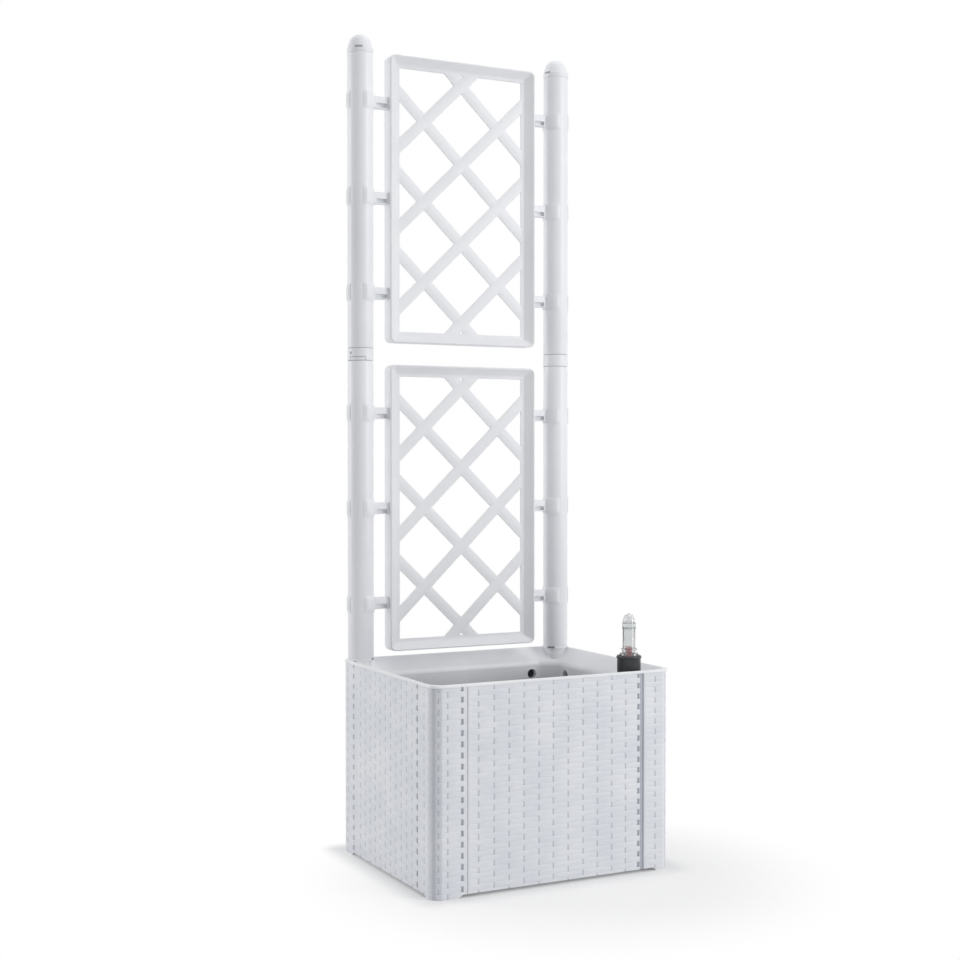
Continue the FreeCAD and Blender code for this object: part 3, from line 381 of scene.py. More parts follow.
for wall, left_x, left_y, turn, span, columns, strip, bosses in WALLS:
    ends = np.array([SEAM, SEAM + 0.3, SEAM + 0.9, span - 0.9, span - 0.3])
    marks = np.concatenate([column_marks(columns).ravel(), ends, strip + STEP_MARKS,
                            BORDER_WIDE + STEP_MARKS])
    along = stations(SEAM, span, marks, 6.0)
    height = strand_levels(WALL_FOOT, WALL_TOP)
    base = np.stack([along, np.zeros_like(along)], axis=1)
    outward = np.broadcast_to([0.0, -1.0], base.shape)
    foot = np.full(len(along), WALL_FOOT)
    shells = [woven_skin(base, outward, base + [0, SKIN], along, height, foot, columns, strip,
                         DEEP_STRIP_SINK)]
    rebate = WALL_TOP - REBATE
    tongue = [(-TONGUE_REACH, TONGUE_FRONT), (SEAM + 0.1, TONGUE_FRONT), (SEAM + 0.1, SKIN - BITE),
              (TONGUE_ROOT, SKIN - BITE), (TONGUE_ROOT, TONGUE_BACK), (-TONGUE_REACH, TONGUE_BACK)]
    shells.append(prism(rounded(tongue, 0.3, 2), WALL_FOOT, rebate))
    shells.append(prism(rounded(slot_web(span), 0.3, 2), WALL_FOOT, rebate))
    ledge_end = span - SLOT_DEEP - SLOT_WEB
    ledge = [(TONGUE_ROOT + SLOT_DEEP, SKIN - BITE), (ledge_end, SKIN - BITE),
             (ledge_end, LEDGE), (TONGUE_ROOT + SLOT_DEEP, LEDGE)]
    shells.append(prism(rounded(ledge, [0, 0, 2, 2]), WALL_FOOT, LEDGE_TOP))
    for spot in bosses:
        boss = [(0, SKIN - BITE), (BOSS, SKIN - BITE), (BOSS, BOSS_TIP), (BOSS_HOLE, BOSS_TIP),
                (BOSS_HOLE, BOSS_HOLE_END), (0, BOSS_HOLE_END)]
        tube = turned(rounded(boss, [0, 0, 0.6, 0.2, 0, 0], 3, closed=False), 40)
        shells.append(moved(tube, x=spot, z=SCREW_Z, tip="y"))
    shells = [moved(shell, left_x, left_y, turn=turn) for shell in shells]
    piece(f"{wall}_moulding", "planter", woven_white, [wall], shells)

# ---------------------------------------------------------------- corner columns
# Each column is one woven moulding round a corner, with a slot leg on its right and a
# tongue leg on its left. Its foot stands on the floor and curves up to the walls' height.
# The two back columns hold a ribbed socket for a post's base.

CORNER_ROUND = 15.5
FACET = 0.65
FOOT_RIGHT = 43.0
FOOT_LEFT = 27.0
FOOT_CURVE = 9.0
SOCKET = 18.4
SOCKET_BORE = 16.0
SOCKET_DEEP = 71.5
SOCKET_TOP = 296.0
SOCKET_RIB = 3.0
POST_INSET = 24.5
CORNER_COLUMNS_LEFT = 31.1
CORNER_COLUMNS_RIGHT = (25.2, 50.2)
ARC_COLUMN = 70 / 90
CORNER_STRIP = 53.2
BEND_GREY = 0.5
BEND_MIDDLE = 0.42
BEND_SOFT = 4.5

flat_left = LEFT_LEG - SEAM - CORNER_ROUND
bend = CORNER_ROUND * math.pi / 2
flat_right = RIGHT_LEG - CORNER_ROUND
corner_length = flat_left + bend + flat_right
right_start = flat_left + bend - CORNER_ROUND
corner_columns = np.array([LEFT_LEG - SEAM - CORNER_COLUMNS_LEFT, flat_left + bend * ARC_COLUMN]
                          + [right_start + spot for spot in CORNER_COLUMNS_RIGHT])
corner_strip = right_start + CORNER_STRIP


def corner_line(along, set_in):
    """Plan points and outward directions along a column: straight, flattened bend, straight.

    The line runs down the left leg, round the corner and along the right leg, set_in from
    the outer face. The bend's radius lies between a quarter circle's and that of its
    chord, nearer to the chord by the share FACET, so it stands back under the round rim.
    """
    turn_angle = np.clip((along - flat_left) / bend, 0, 1) * math.pi / 2
    outward = -np.stack([np.cos(turn_angle), np.sin(turn_angle)], axis=1)
    chord = math.cos(math.pi / 4) / np.cos(turn_angle - math.pi / 4)
    radius = CORNER_ROUND * (1 - FACET + FACET * chord[:, None]) - set_in
    before = np.clip(flat_left - along, 0, None)
    after = np.clip(along - flat_left - bend, 0, None)
    return np.stack([after, before], axis=1) + CORNER_ROUND + outward * radius, outward


corner_ends = [0.3, 0.9, corner_length - 0.9, corner_length - 0.3]
bend_marks = flat_left + bend * np.linspace(0, 1, 13)
foot_marks = np.concatenate([right_start + FOOT_RIGHT + np.linspace(-1, 1, 7) * FOOT_CURVE,
                             LEFT_LEG - SEAM - FOOT_LEFT + np.linspace(-1, 1, 7) * FOOT_CURVE])
corner_along = stations(0, corner_length, np.concatenate([
    column_marks(corner_columns).ravel(), corner_ends, bend_marks, foot_marks,
    corner_strip + STEP_MARKS, BORDER_WIDE + STEP_MARKS]), 5.0)
corner_height = strand_levels(0, WALL_TOP)
# the foot's lower edge climbs smoothly, by the cube-smoothed distance past the foot's end
past_right = (corner_along - right_start - FOOT_RIGHT) / FOOT_CURVE
past_left = (LEFT_LEG - SEAM - FOOT_LEFT - corner_along) / FOOT_CURVE
climb = np.clip(np.maximum(past_right, past_left), 0, 1)
corner_foot = WALL_FOOT * climb ** 2 * (3 - 2 * climb)
# painted shade: the near corner's shaded band, which the lamps give only in part, drawn as
# a grey bell over the plan line, equal at all heights
bend_shade = BEND_GREY * np.exp(-((corner_along - flat_left - bend * BEND_MIDDLE) / BEND_SOFT) ** 2)
bend_shade = np.repeat(bend_shade, len(corner_height) + 2)
CORNERS = (
    ("corner_front_left", -215.0, -180.0, 0),
    ("corner_front_right", 215.0, -180.0, 90),
    ("corner_back_right", 215.0, 180.0, 180),
    ("corner_back_left", -215.0, 180.0, 270),
)
for corner, corner_x, corner_y, turn in CORNERS:
    base, outward = corner_line(corner_along, 0)
    inside, _ = corner_line(corner_along, SKIN)
    skin = woven_skin(base, outward, inside, corner_along, corner_height, corner_foot,
                      corner_columns, corner_strip, STRIP_SINK)
    shells = [skin[:3] + (np.maximum(skin[3], bend_shade),)]
    rebate = WALL_TOP - REBATE
    shells.append(prism(rounded(slot_web(RIGHT_LEG), 0.3, 2), WALL_FOOT, rebate))
    tongue_tip = LEFT_LEG + TONGUE_REACH
    tongue = [(SKIN - BITE, LEFT_LEG - TONGUE_ROOT), (TONGUE_BACK, LEFT_LEG - TONGUE_ROOT),
              (TONGUE_BACK, tongue_tip), (TONGUE_FRONT, tongue_tip),
              (TONGUE_FRONT, LEFT_LEG - SEAM - 0.1), (SKIN - BITE, LEFT_LEG - SEAM - 0.1)]
    shells.append(prism(rounded(tongue, 0.3, 2), WALL_FOOT, rebate))
    if "back" in corner:
        low = WALL_TOP - SOCKET_DEEP
        ring = rounded([(SOCKET_BORE, low), (SOCKET, low), (SOCKET, SOCKET_TOP),
                        (SOCKET_BORE, SOCKET_TOP)], 0.5, 2)
        shells.append(moved(turned(ring, 64, closed=True), POST_INSET, POST_INSET))
        half = SOCKET_RIB / 2
        end = POST_INSET - SOCKET_BORE - 1
        for rib in ([(SKIN - BITE, POST_INSET - half), (end, POST_INSET - half),
                     (end, POST_INSET + half), (SKIN - BITE, POST_INSET + half)],
                    [(POST_INSET - half, SKIN - BITE), (POST_INSET + half, SKIN - BITE),
                     (POST_INSET + half, end), (POST_INSET - half, end)]):
            shells.append(prism(rounded(rib, 0.2, 2), low, SOCKET_TOP))
    shells = [moved(shell, corner_x, corner_y, turn=turn) for shell in shells]
    piece(f"{corner}_moulding", "planter", woven_white, [corner], shells)

# ---------------------------------------------------------------- liner
# One smooth moulding in white polypropylene holds the soil and the water. Its rim band
# covers the walls' tops, slopes in to the tub and is cut off in front of the posts. Round
# recesses hold the screws, and a bay in the front wall leaves room for the filler shaft.

TUB_X = 186.0
TUB_Y = 151.0
TUB_WALL = 2.5
TUB_LOW = 11.3
TUB_FLOOR = TUB_LOW + TUB_WALL
SLOPE_LOW = 301.0
SLOPE_CLIMB = RIM - SLOPE_LOW
FRONT_CUT = 14.0
BACK_CUT_X = 30.0
BACK_CUT_Y = 20.0
FRONT_SOFT = 20.0
BACK_SOFT = 10.0
LIP_ROUND = 1.6
COVE = 12.0
WALL_PAINTED_SHADE = 0.38
WALL_FADE = 30.0
TOP_SHARE = 0.4
PEDESTAL = 17.8
PEDESTAL_TOP = 20.6
SHAFT_X = 153.5
SHAFT_Y = -149.0
BAY = 19.6
BAY_WALL = 2.0
CUP = 12.0
CUP_BORE = 8.0
CUP_DEEP = 10.0
CUP_LIP = 0.9
CUP_SPOTS = {"front": (-139.6, 108.0), "right": (-112.0, 112.0), "back": (139.6, -139.6),
             "left": (112.0, -112.0)}
ARC_STEPS = 8
CUT_STEPS = 6
cup_offsets = np.array([0, 2.5, 5, 6.8, 7.6, 8.0, 8.5, 9.3, 10.5, 11.5, 12.0, 12.4])
cup_offsets = np.concatenate([-cup_offsets[::-1], cup_offsets[1:]])


def tub_arcs(grow, rise):
    """The eight rounded corners of the tub's plan, from the front right one on.

    The plan is an octagon grown by grow and rise. Its back cuts widen with rise just so
    much that all slopes are equally steep, and its corners get softer towards the rim.
    """
    x, y = TUB_X + grow + rise, TUB_Y + grow + rise
    slant = math.hypot(BACK_CUT_X, BACK_CUT_Y)
    cut_x = BACK_CUT_X + rise * (1 + (BACK_CUT_X - slant) / BACK_CUT_Y)
    cut_y = BACK_CUT_Y + rise * (1 + (BACK_CUT_Y - slant) / BACK_CUT_X)
    corners = [(x - FRONT_CUT, -y), (x, -y + FRONT_CUT), (x, y - cut_y), (x - cut_x, y),
               (-x + cut_x, y), (-x, y - cut_y), (-x, -y + FRONT_CUT), (-x + FRONT_CUT, -y)]
    soft = BACK_SOFT + rise * 0.5
    radii = [FRONT_SOFT, FRONT_SOFT, soft, soft, soft, soft, FRONT_SOFT, FRONT_SOFT]
    return rounded(corners, radii, ARC_STEPS).reshape(8, ARC_STEPS + 1, 2)


plain_arcs = tub_arcs(0, 0)
side_parts = {}
for side, axis, start, end in (
        ("front", 0, plain_arcs[7][-1], plain_arcs[0][0]),
        ("right", 1, plain_arcs[1][-1], plain_arcs[2][0]),
        ("back", 0, plain_arcs[3][-1], plain_arcs[4][0]),
        ("left", 1, plain_arcs[5][-1], plain_arcs[6][0])):
    low, high = sorted((start[axis], end[axis]))
    marks = (np.array(CUP_SPOTS[side])[:, None] + cup_offsets).ravel()
    if side == "front":
        marks = np.concatenate([marks, SHAFT_X + np.linspace(-BAY - 2, 12, 24)])
    places = stations(low, high, marks, 14.0)
    parts = (places - low) / (high - low)
    side_parts[side] = parts if end[axis] > start[axis] else 1 - parts[::-1]


def ring_through(arcs):
    """One closed plan ring: four straight sides and four corners, in a fixed count."""
    runs = []
    for order, side in enumerate(("front", "right", "back", "left")):
        start, end = arcs[(2 * order - 1) % 8][-1], arcs[2 * order][0]
        runs.append(start + (end - start) * side_parts[side][1:-1, None])
        first, last = arcs[2 * order], arcs[2 * order + 1]
        cut = first[-1] + (last[0] - first[-1]) * np.linspace(0, 1, CUT_STEPS)[1:-1, None]
        runs += [first, cut, last]
    return np.concatenate(runs)


def tub_ring(grow, rise, height, bay):
    """The tub's plan at one height, pushed out to a round bay where it meets the shaft."""
    ring = ring_through(tub_arcs(grow, rise))
    way = np.roll(ring, -1, axis=0) - np.roll(ring, 1, axis=0)
    out = np.stack([way[:, 1], -way[:, 0]], axis=1) / np.linalg.norm(way, axis=1)[:, None]
    arm = ring - [SHAFT_X, SHAFT_Y]
    lean = (arm * out).sum(axis=1)
    inside = bay ** 2 - (arm ** 2).sum(axis=1)
    push = np.where(inside > 0, -lean + np.sqrt(np.maximum(lean ** 2 + inside, 0)), 0)
    ring = ring + out * push[:, None]
    return np.concatenate([ring, np.full((len(ring), 1), height)], axis=1)


def band_ring(set_in, height):
    """The rim's rounded rectangle, drawn in by set_in, in the same count as the tub."""
    x, y, radius = WIDTH / 2 - set_in, DEPTH / 2 - set_in, CORNER_ROUND - set_in
    arcs = []
    for order, (side_x, side_y) in enumerate(((1, -1), (1, 1), (-1, 1), (-1, -1))):
        count = 2 * (ARC_STEPS + 1) + CUT_STEPS - 2
        angle = (order - 1) * math.pi / 2 + np.linspace(0, math.pi / 2, count)
        middle = np.array([side_x * (x - radius), side_y * (y - radius)])
        arcs.append(middle + radius * np.stack([np.cos(angle), np.sin(angle)], axis=1))
    runs = []
    for order, side in enumerate(("front", "right", "back", "left")):
        start, end = arcs[order - 1][-1], arcs[order][0]
        runs.append(start + (end - start) * side_parts[side][1:-1, None])
        runs.append(arcs[order])
    ring = np.concatenate(runs)
    return np.concatenate([ring, np.full((len(ring), 1), height)], axis=1)


def pressed_cups(rings, outward_reach, radius, lip):
    """Rings of the tub's wall with the screw recesses pressed out of it, and their painted shade.

    Square frames of grid lines round each screw become circles, and the wall inside the
    given radius goes out by the recess's depth. A low rounded lip stands round the mouth.
    """
    painted_shade = np.zeros(rings.shape[:2])
    for side, axis, sign in (("front", 0, -1), ("right", 1, 1), ("back", 0, 1), ("left", 1, -1)):
        other = 1 - axis
        plane = sign * ((TUB_Y if axis == 0 else TUB_X) + outward_reach)
        on_side = np.abs(rings[..., other] - plane) < 0.01
        for spot in CUP_SPOTS[side]:
            over, up = rings[..., axis] - spot, rings[..., 2] - SCREW_Z
            frame_size = np.maximum(np.abs(over), np.abs(up))
            ring_size = np.maximum(np.hypot(over, up), 1e-6)
            here = on_side & (frame_size < CUP + 0.6)
            pull = np.where(here, frame_size / ring_size, 1)
            rings[..., axis] = spot + over * pull
            rings[..., 2] = SCREW_Z + up * pull
            deep = CUP_DEEP * np.clip((radius + 0.15 - frame_size) / 0.3, 0, 1)
            raised = lip * np.exp(-((frame_size - CUP_BORE - 2) / 1.2) ** 2)
            rings[..., other] += np.where(here, sign * (deep - raised), 0)
            # painted shade inside each screw recess
            painted_shade = np.maximum(painted_shade, np.where(here, np.clip(radius + 0.3 - frame_size, 0, 1), 0))
    return rings, painted_shade


cup_levels = SCREW_Z + cup_offsets
tub_levels = np.concatenate([[22, 34, 56, 90, 130, 170, 210, 240, 262], cup_levels, [294.6]])
inner_floor = [tub_ring(0, 0, TUB_FLOOR, BAY) * [part, part, 1] for part in (0, 0.3, 0.6, 0.9)]
inner_foot = [tub_ring(-4 * (1 - math.cos(a)), 0, TUB_FLOOR + 4 * (1 - math.sin(a)), BAY)
              for a in np.linspace(math.pi / 2, 0, 5)]
inner_wall = np.stack([tub_ring(0, 0, level, BAY) for level in tub_levels])
inner_wall, inner_painted_shade = pressed_cups(inner_wall, 0, CUP_BORE, CUP_LIP)
# the bend from the upright wall to the slope, and from the slope to the rim's flat top
bend_low = SLOPE_LOW - COVE * math.tan(math.pi / 8)
slope_bend = [tub_ring(0, COVE * (1 - math.cos(a)), bend_low + COVE * math.sin(a), BAY)
              for a in np.linspace(0, math.pi / 4, 8)]
slope = [tub_ring(0, rise, SLOPE_LOW + rise, BAY)
         for rise in np.linspace(COVE * 0.33, SLOPE_CLIMB - 2.2, 16)]
top_bend = [tub_ring(0, SLOPE_CLIMB - back, RIM - down, BAY)
            for back, down in ((1.4, 1.45), (0.6, 0.75), (-0.4, 0.2), (-1.6, 0))]
outer_bend = [band_ring(LIP_ROUND * (1 - math.sin(a)), RIM - LIP_ROUND * (1 - math.cos(a)))
              for a in np.linspace(0, math.pi / 2, 5)]
outer_band = [band_ring(0, WALL_TOP + 0.4), band_ring(0.4, WALL_TOP)]
UNDER_RISE = SLOPE_CLIMB - BAND
under_slope = [tub_ring(TUB_WALL, rise, SLOPE_LOW + rise, BAY + BAY_WALL)
               for rise in np.linspace(UNDER_RISE, 0, 14)]
outer_wall = np.stack([tub_ring(TUB_WALL, 0, level, BAY + BAY_WALL)
                       for level in tub_levels[::-1]])
outer_wall, outer_painted_shade = pressed_cups(outer_wall, TUB_WALL, CUP, 0)
outer_foot = [tub_ring(TUB_WALL - 5 * (1 - math.cos(a)), 0, TUB_LOW + 5 * (1 - math.sin(a)),
                       BAY + BAY_WALL) for a in np.linspace(0, math.pi / 2, 5)]
outer_floor = [tub_ring(0, 0, TUB_LOW, BAY) * [part, part, 1] for part in (0.9, 0.6, 0.3, 0)]
before = np.stack(inner_floor + inner_foot)
between = np.stack(slope_bend + slope + top_bend + outer_bend + outer_band + under_slope)
after = np.stack(outer_foot + outer_floor)
rings = np.concatenate([before, inner_wall, between, outer_wall, after])
# painted shade on the tub's wall, which the lamps give only in part: greyer the lower, over
# WALL_FADE
lower = np.clip((tub_levels[-1] - tub_levels) / WALL_FADE, 0, 1)[:, None]
inner_painted_shade = np.maximum(inner_painted_shade, WALL_PAINTED_SHADE * (TOP_SHARE + (1 - TOP_SHARE) * lower))
painted_shades = np.concatenate([np.zeros(before.shape[:2]), inner_painted_shade, np.zeros(between.shape[:2]),
                          np.zeros(outer_painted_shade.shape), np.zeros(after.shape[:2])])
# a smoother mould: a soft sheen on the slopes, a white paler than the walls' that is
# painted light on the slopes, and duller in the tub by painted shade
liner_white = moulded_polypropylene("white_polypropylene_liner", "#f8f9fa", "#f0f1f4",
                                    sunk="#5c5f68", roughness=0.36, cloud=90.0)
# a round pedestal stands out of each back slope and carries a post's base
pedestal = turned(rounded([(SOCKET_BORE, 299.0), (PEDESTAL, 299.0), (PEDESTAL, 320.5),
                           (PEDESTAL_TOP, RIM), (SOCKET_BORE, RIM)],
                          [0.3, 0.3, 3.0, 0.4, 0.3], 4), 96, closed=True)
piece("liner_moulding", "planter", liner_white, ["liner"],
      [lattice(rings, along=True, painted_shade=painted_shades)]
      + [moved(pedestal, side * (WIDTH / 2 - POST_INSET), DEPTH / 2 - POST_INSET)
         for side in (-1, 1)])

# ---------------------------------------------------------------- posts
# Each post is two extruded PVC tubes, a plug-in base with a flange, a coupler between the
# tubes and a domed cap. The base's flange and the cap have a moulded notch, and the left
# coupler has a small release tab and a dimple.

POST_X = 190.5
POST_Y = 155.5
POST_R = 22.0
POST_BORE = 19.5
POST_FOOT = 329.0
COUPLER_LOW = 833.0
COUPLER_HIGH = 855.0
CAP_LOW = 1352.0
CAP_SKIRT = 1360.0
TOTAL = 1384.0
BASE_R = 22.7
COUPLER_R = 22.2
CAP_R = 22.7
PLUG_FIT = 19.3
PLUG_BORE = 14.0
PLUG = 36.0
SPIGOT = 15.8
SPIGOT_LOW = 256.0
FINE_TURN = 240
PAINTED_SHADE_PER_MM = 0.7
ALL_ROUND = 160.0


def finer(profile, widest):
    """A polyline with extra points, so that no step is longer than widest."""
    profile = np.asarray(profile, dtype=float)
    steps = np.maximum(1, np.ceil(np.linalg.norm(np.diff(profile, axis=0), axis=1) / widest))
    runs = [start + (end - start) * np.linspace(0, 1, int(count), endpoint=False)[:, None]
            for start, end, count in zip(profile[:-1], profile[1:], steps)]
    return np.concatenate(runs + [profile[-1:]])


def dented(shell, facing, width, low, high, depth, soft=0.5):
    """A turned shell with a soft-edged dent, or a raised tab where depth is negative.

    Every point outside the bore moves to the axis by depth times a smooth step in the arc
    length from the facing direction and a smooth step in height. A dent gets painted shade,
    and a raised place loses it.
    """
    points = shell[0]
    radius = np.hypot(points[:, 0], points[:, 1])
    angle = np.degrees(np.arctan2(points[:, 1], points[:, 0])) - facing
    arc = np.abs(np.radians((angle + 180) % 360 - 180)) * radius
    side = np.clip((width / 2 - arc) / soft + 0.5, 0, 1)
    level = np.clip((high - points[:, 2]) / soft + 0.5, 0, 1)
    level = level * np.clip((points[:, 2] - low) / soft + 0.5, 0, 1)
    amount = depth * side * level * (radius > POST_BORE + 0.5)
    scale = 1 - amount / np.maximum(radius, 1e-6)
    points = points * np.stack([scale, scale, np.ones_like(scale)], axis=1)
    return (points,) + shell[1:3] + (np.clip(shell[3] + amount * PAINTED_SHADE_PER_MM, 0, 1),)


# extruded smooth: the tubes carry long soft highlights
post_white = moulded_polypropylene("white_pvc_extruded_tube", "#f5f6f9", "#eff0f4",
                                   roughness=0.33, grain=0.7, cloud=140.0)
# moulded and slightly duller than the tubes, with painted shade in its grooves and dents
fitting_white = moulded_polypropylene("white_polypropylene_fitting", "#f3f4f7", "#eceef2",
                                      sunk="#8f929c", roughness=0.4)
# the directions that each post's base slot, release tab, dimple and cap notch face
POSTS = (("left", -POST_X, -39.0, -128.0, -160.0, -121.0),
         ("right", POST_X, -141.0, None, None, -164.0))
for hand, post_x, slot_facing, tab_facing, dimple_facing, cap_facing in POSTS:
    for half, low, high in (("lower", POST_FOOT, COUPLER_LOW), ("upper", COUPLER_HIGH, CAP_LOW)):
        wall = rounded([(POST_BORE, low), (POST_R, low), (POST_R, high), (POST_BORE, high)],
                       [0.3, 0.9, 0.9, 0.3], 3)
        tube = moved(turned(wall, 128, closed=True), post_x, POST_Y)
        piece(f"post_{half}_{hand}_tube", "planter", post_white,
              [f"post_{half}_{hand}"], [tube])

    base = rounded([(PLUG_BORE, SPIGOT_LOW), (SPIGOT, SPIGOT_LOW), (SPIGOT, RIM), (BASE_R, RIM),
                    (BASE_R, POST_FOOT), (PLUG_FIT, POST_FOOT), (PLUG_FIT, POST_FOOT + PLUG),
                    (PLUG_BORE, POST_FOOT + PLUG)],
                   [0.4, 0.8, 0, 0.3, 0.7, 0.1, 1, 0.4], 3)
    base = turned(finer(base, 0.8), FINE_TURN, closed=True)
    base = dented(base, slot_facing, 14, RIM + 0.3, POST_FOOT + 1, 2.4)
    piece(f"post_base_{hand}_plug", "planter", fitting_white,
          [f"post_base_{hand}"], [moved(base, post_x, POST_Y)])

    low, high = COUPLER_LOW, COUPLER_HIGH
    joint = rounded([(PLUG_BORE, low - PLUG), (PLUG_FIT, low - PLUG), (PLUG_FIT, low),
                     (COUPLER_R, low), (COUPLER_R, high), (PLUG_FIT, high),
                     (PLUG_FIT, high + PLUG), (PLUG_BORE, high + PLUG)],
                    [0.4, 1, 0.1, 1.1, 1.1, 0.1, 1, 0.4], 3)
    joint = turned(finer(joint, 0.9), FINE_TURN, closed=True)
    # a groove at each seam, with painted shade in it
    for seam in (low, high):
        joint = dented(joint, 0, ALL_ROUND, seam - 0.9, seam + 0.9, 0.8, soft=0.6)
    if tab_facing is not None:
        joint = dented(joint, tab_facing, 29, low - 2, low + 7, 0.9, soft=1.0)
        joint = dented(joint, tab_facing, 26.4, low - 2, low + 5.4, -0.9, soft=1.0)
        joint = dented(joint, dimple_facing, 3.4, low + 11, low + 14.5, 1.2, soft=1.0)
    piece(f"coupler_{hand}_ring", "planter", fitting_white,
          [f"coupler_{hand}"], [moved(joint, post_x, POST_Y)])

    skirt = rounded([(PLUG_FIT, CAP_LOW - PLUG), (PLUG_FIT, CAP_LOW), (POST_R, CAP_LOW),
                     (CAP_R, CAP_SKIRT - 1), (21.3, CAP_SKIRT + 3), (19.7, 1369.0), (16.9, 1376.0),
                     (12.2, 1380.8), (6.5, 1383.4), (0, TOTAL)],
                    [0, 0.1, 0.7, 2, 2, 8, 8, 8, 8, 0], 4, closed=False)
    inner = [(0, CAP_SKIRT), (PLUG_BORE, CAP_SKIRT), (PLUG_BORE, CAP_LOW - PLUG)]
    outline = np.concatenate([np.array(inner), skirt])
    dome = dented(turned(finer(outline, 0.8), FINE_TURN), cap_facing, 13.5,
                  CAP_SKIRT - 1.2, CAP_SKIRT + 1.6, 1.3)
    piece(f"post_cap_{hand}_dome", "planter", fitting_white,
          [f"post_cap_{hand}"], [moved(dome, post_x, POST_Y)])

# ---------------------------------------------------------------- trellis panels
# Each panel is one polypropylene moulding: a deep frame with a narrow rim, faces that
# slope to a thin border, and crossed bars in the middle plane. A gusset with a hole for a
# tie joins the bars at the top and at the bottom.

PANEL_X = 140.5
PANEL_Z = 245.0
PANEL_RIM = 2.5
SLOPE_X = 13.5
SLOPE_Z = 11.0
BORDER = 6.0
PANEL_ROUND = 10.0
PITCH_X = 143.5
PITCH_Z = 138.0
BAR = 19.3
PANEL_MIDDLES = (("lower", 583.0), ("upper", 1111.0))
window_x = PANEL_X - PANEL_RIM - SLOPE_X - BORDER
window_z = PANEL_Z - PANEL_RIM - SLOPE_Z - BORDER


def frame_ring(over, away):
    """A rounded rectangle drawn in by over, at a distance away from the middle plane."""
    in_x = over
    in_z = np.interp(over, [0, PANEL_RIM, PANEL_RIM + SLOPE_X, PANEL_RIM + SLOPE_X + BORDER],
                     [0, PANEL_RIM, PANEL_RIM + SLOPE_Z, PANEL_RIM + SLOPE_Z + BORDER])
    x, z = PANEL_X - in_x, PANEL_Z - in_z
    radius = max(PANEL_ROUND - over, 1.2)
    flat = rounded([(-x, -z), (x, -z), (x, z), (-x, z)], radius, 6)
    return np.stack([flat[:, 0], np.full(len(flat), away), flat[:, 1]], axis=1)


def along_line(start, end, outline):
    """An outline of (side, depth) pairs carried from start to end in the panel's plane."""
    start, end = np.asarray(start, dtype=float), np.asarray(end, dtype=float)
    way = (end - start) / np.linalg.norm(end - start)
    side = np.array([-way[1], way[0]])
    outline = np.asarray(outline)
    flat = np.stack([point + outline[:, :1] * side for point in (start, end)])
    depth = np.broadcast_to(outline[:, 1:], (2, len(outline), 1))
    points = np.concatenate([flat[..., :1], depth, flat[..., 1:]], axis=2)
    return lattice(points, along=True, ends=True)


def plate_with_hole(outline, hole, half, soft):
    """A plate between an outer and an inner ring of equal count, with softened outer edges."""
    outline, hole = np.asarray(outline, dtype=float), np.asarray(hole, dtype=float)
    inward = hole - outline
    inward /= np.linalg.norm(inward, axis=1, keepdims=True)
    turn_in = np.linspace(0, math.pi / 2, 4)
    front = [(outline + inward * soft * (1 - math.sin(a)), -half + soft * (1 - math.cos(a)))
             for a in turn_in]
    levels = [(hole, -half)] + front
    levels += [(flat, -away) for flat, away in front[::-1]] + [(hole, half)]
    points = np.stack([np.stack([flat[:, 0], np.full(len(flat), away), flat[:, 1]], axis=1)
                       for flat, away in levels])
    return lattice(points, around=True, along=True)


# the frame's section, from the window over the front to the back: distance in, distance out
rim_arc = np.linspace(0, math.pi / 2, 6)
front_half = [(22.0, 1.4), (21.4, 2.0), (16.9, 2.0), (15.6, 2.5), (3.4, 13.2), (2.6, 13.8),
              (2.0, 14.0)]
front_half += [(1.7 * (1 - math.sin(a)), 12.3 + 1.7 * math.cos(a)) for a in rim_arc]
section = [(over, -away) for over, away in front_half]
section += [(over, away) for over, away in front_half[::-1]]
bar_outline = {}
for lean, half in ((1, 1.96), (-1, 1.9)):
    edges = [(-BAR / 2, -half), (BAR / 2, -half), (BAR / 2, half), (-BAR / 2, half)]
    bar_outline[lean] = rounded(edges, 0.45, 3)
GUSSET_DROP = 19.0
GUSSET_NECK = 15.0
GUSSET_FOOT = 31.0
GUSSET_ROOT = 7.0
GUSSET_LIMIT = 30.0
TIE_HOLE = 2.75
TIE_DROP = 2.5
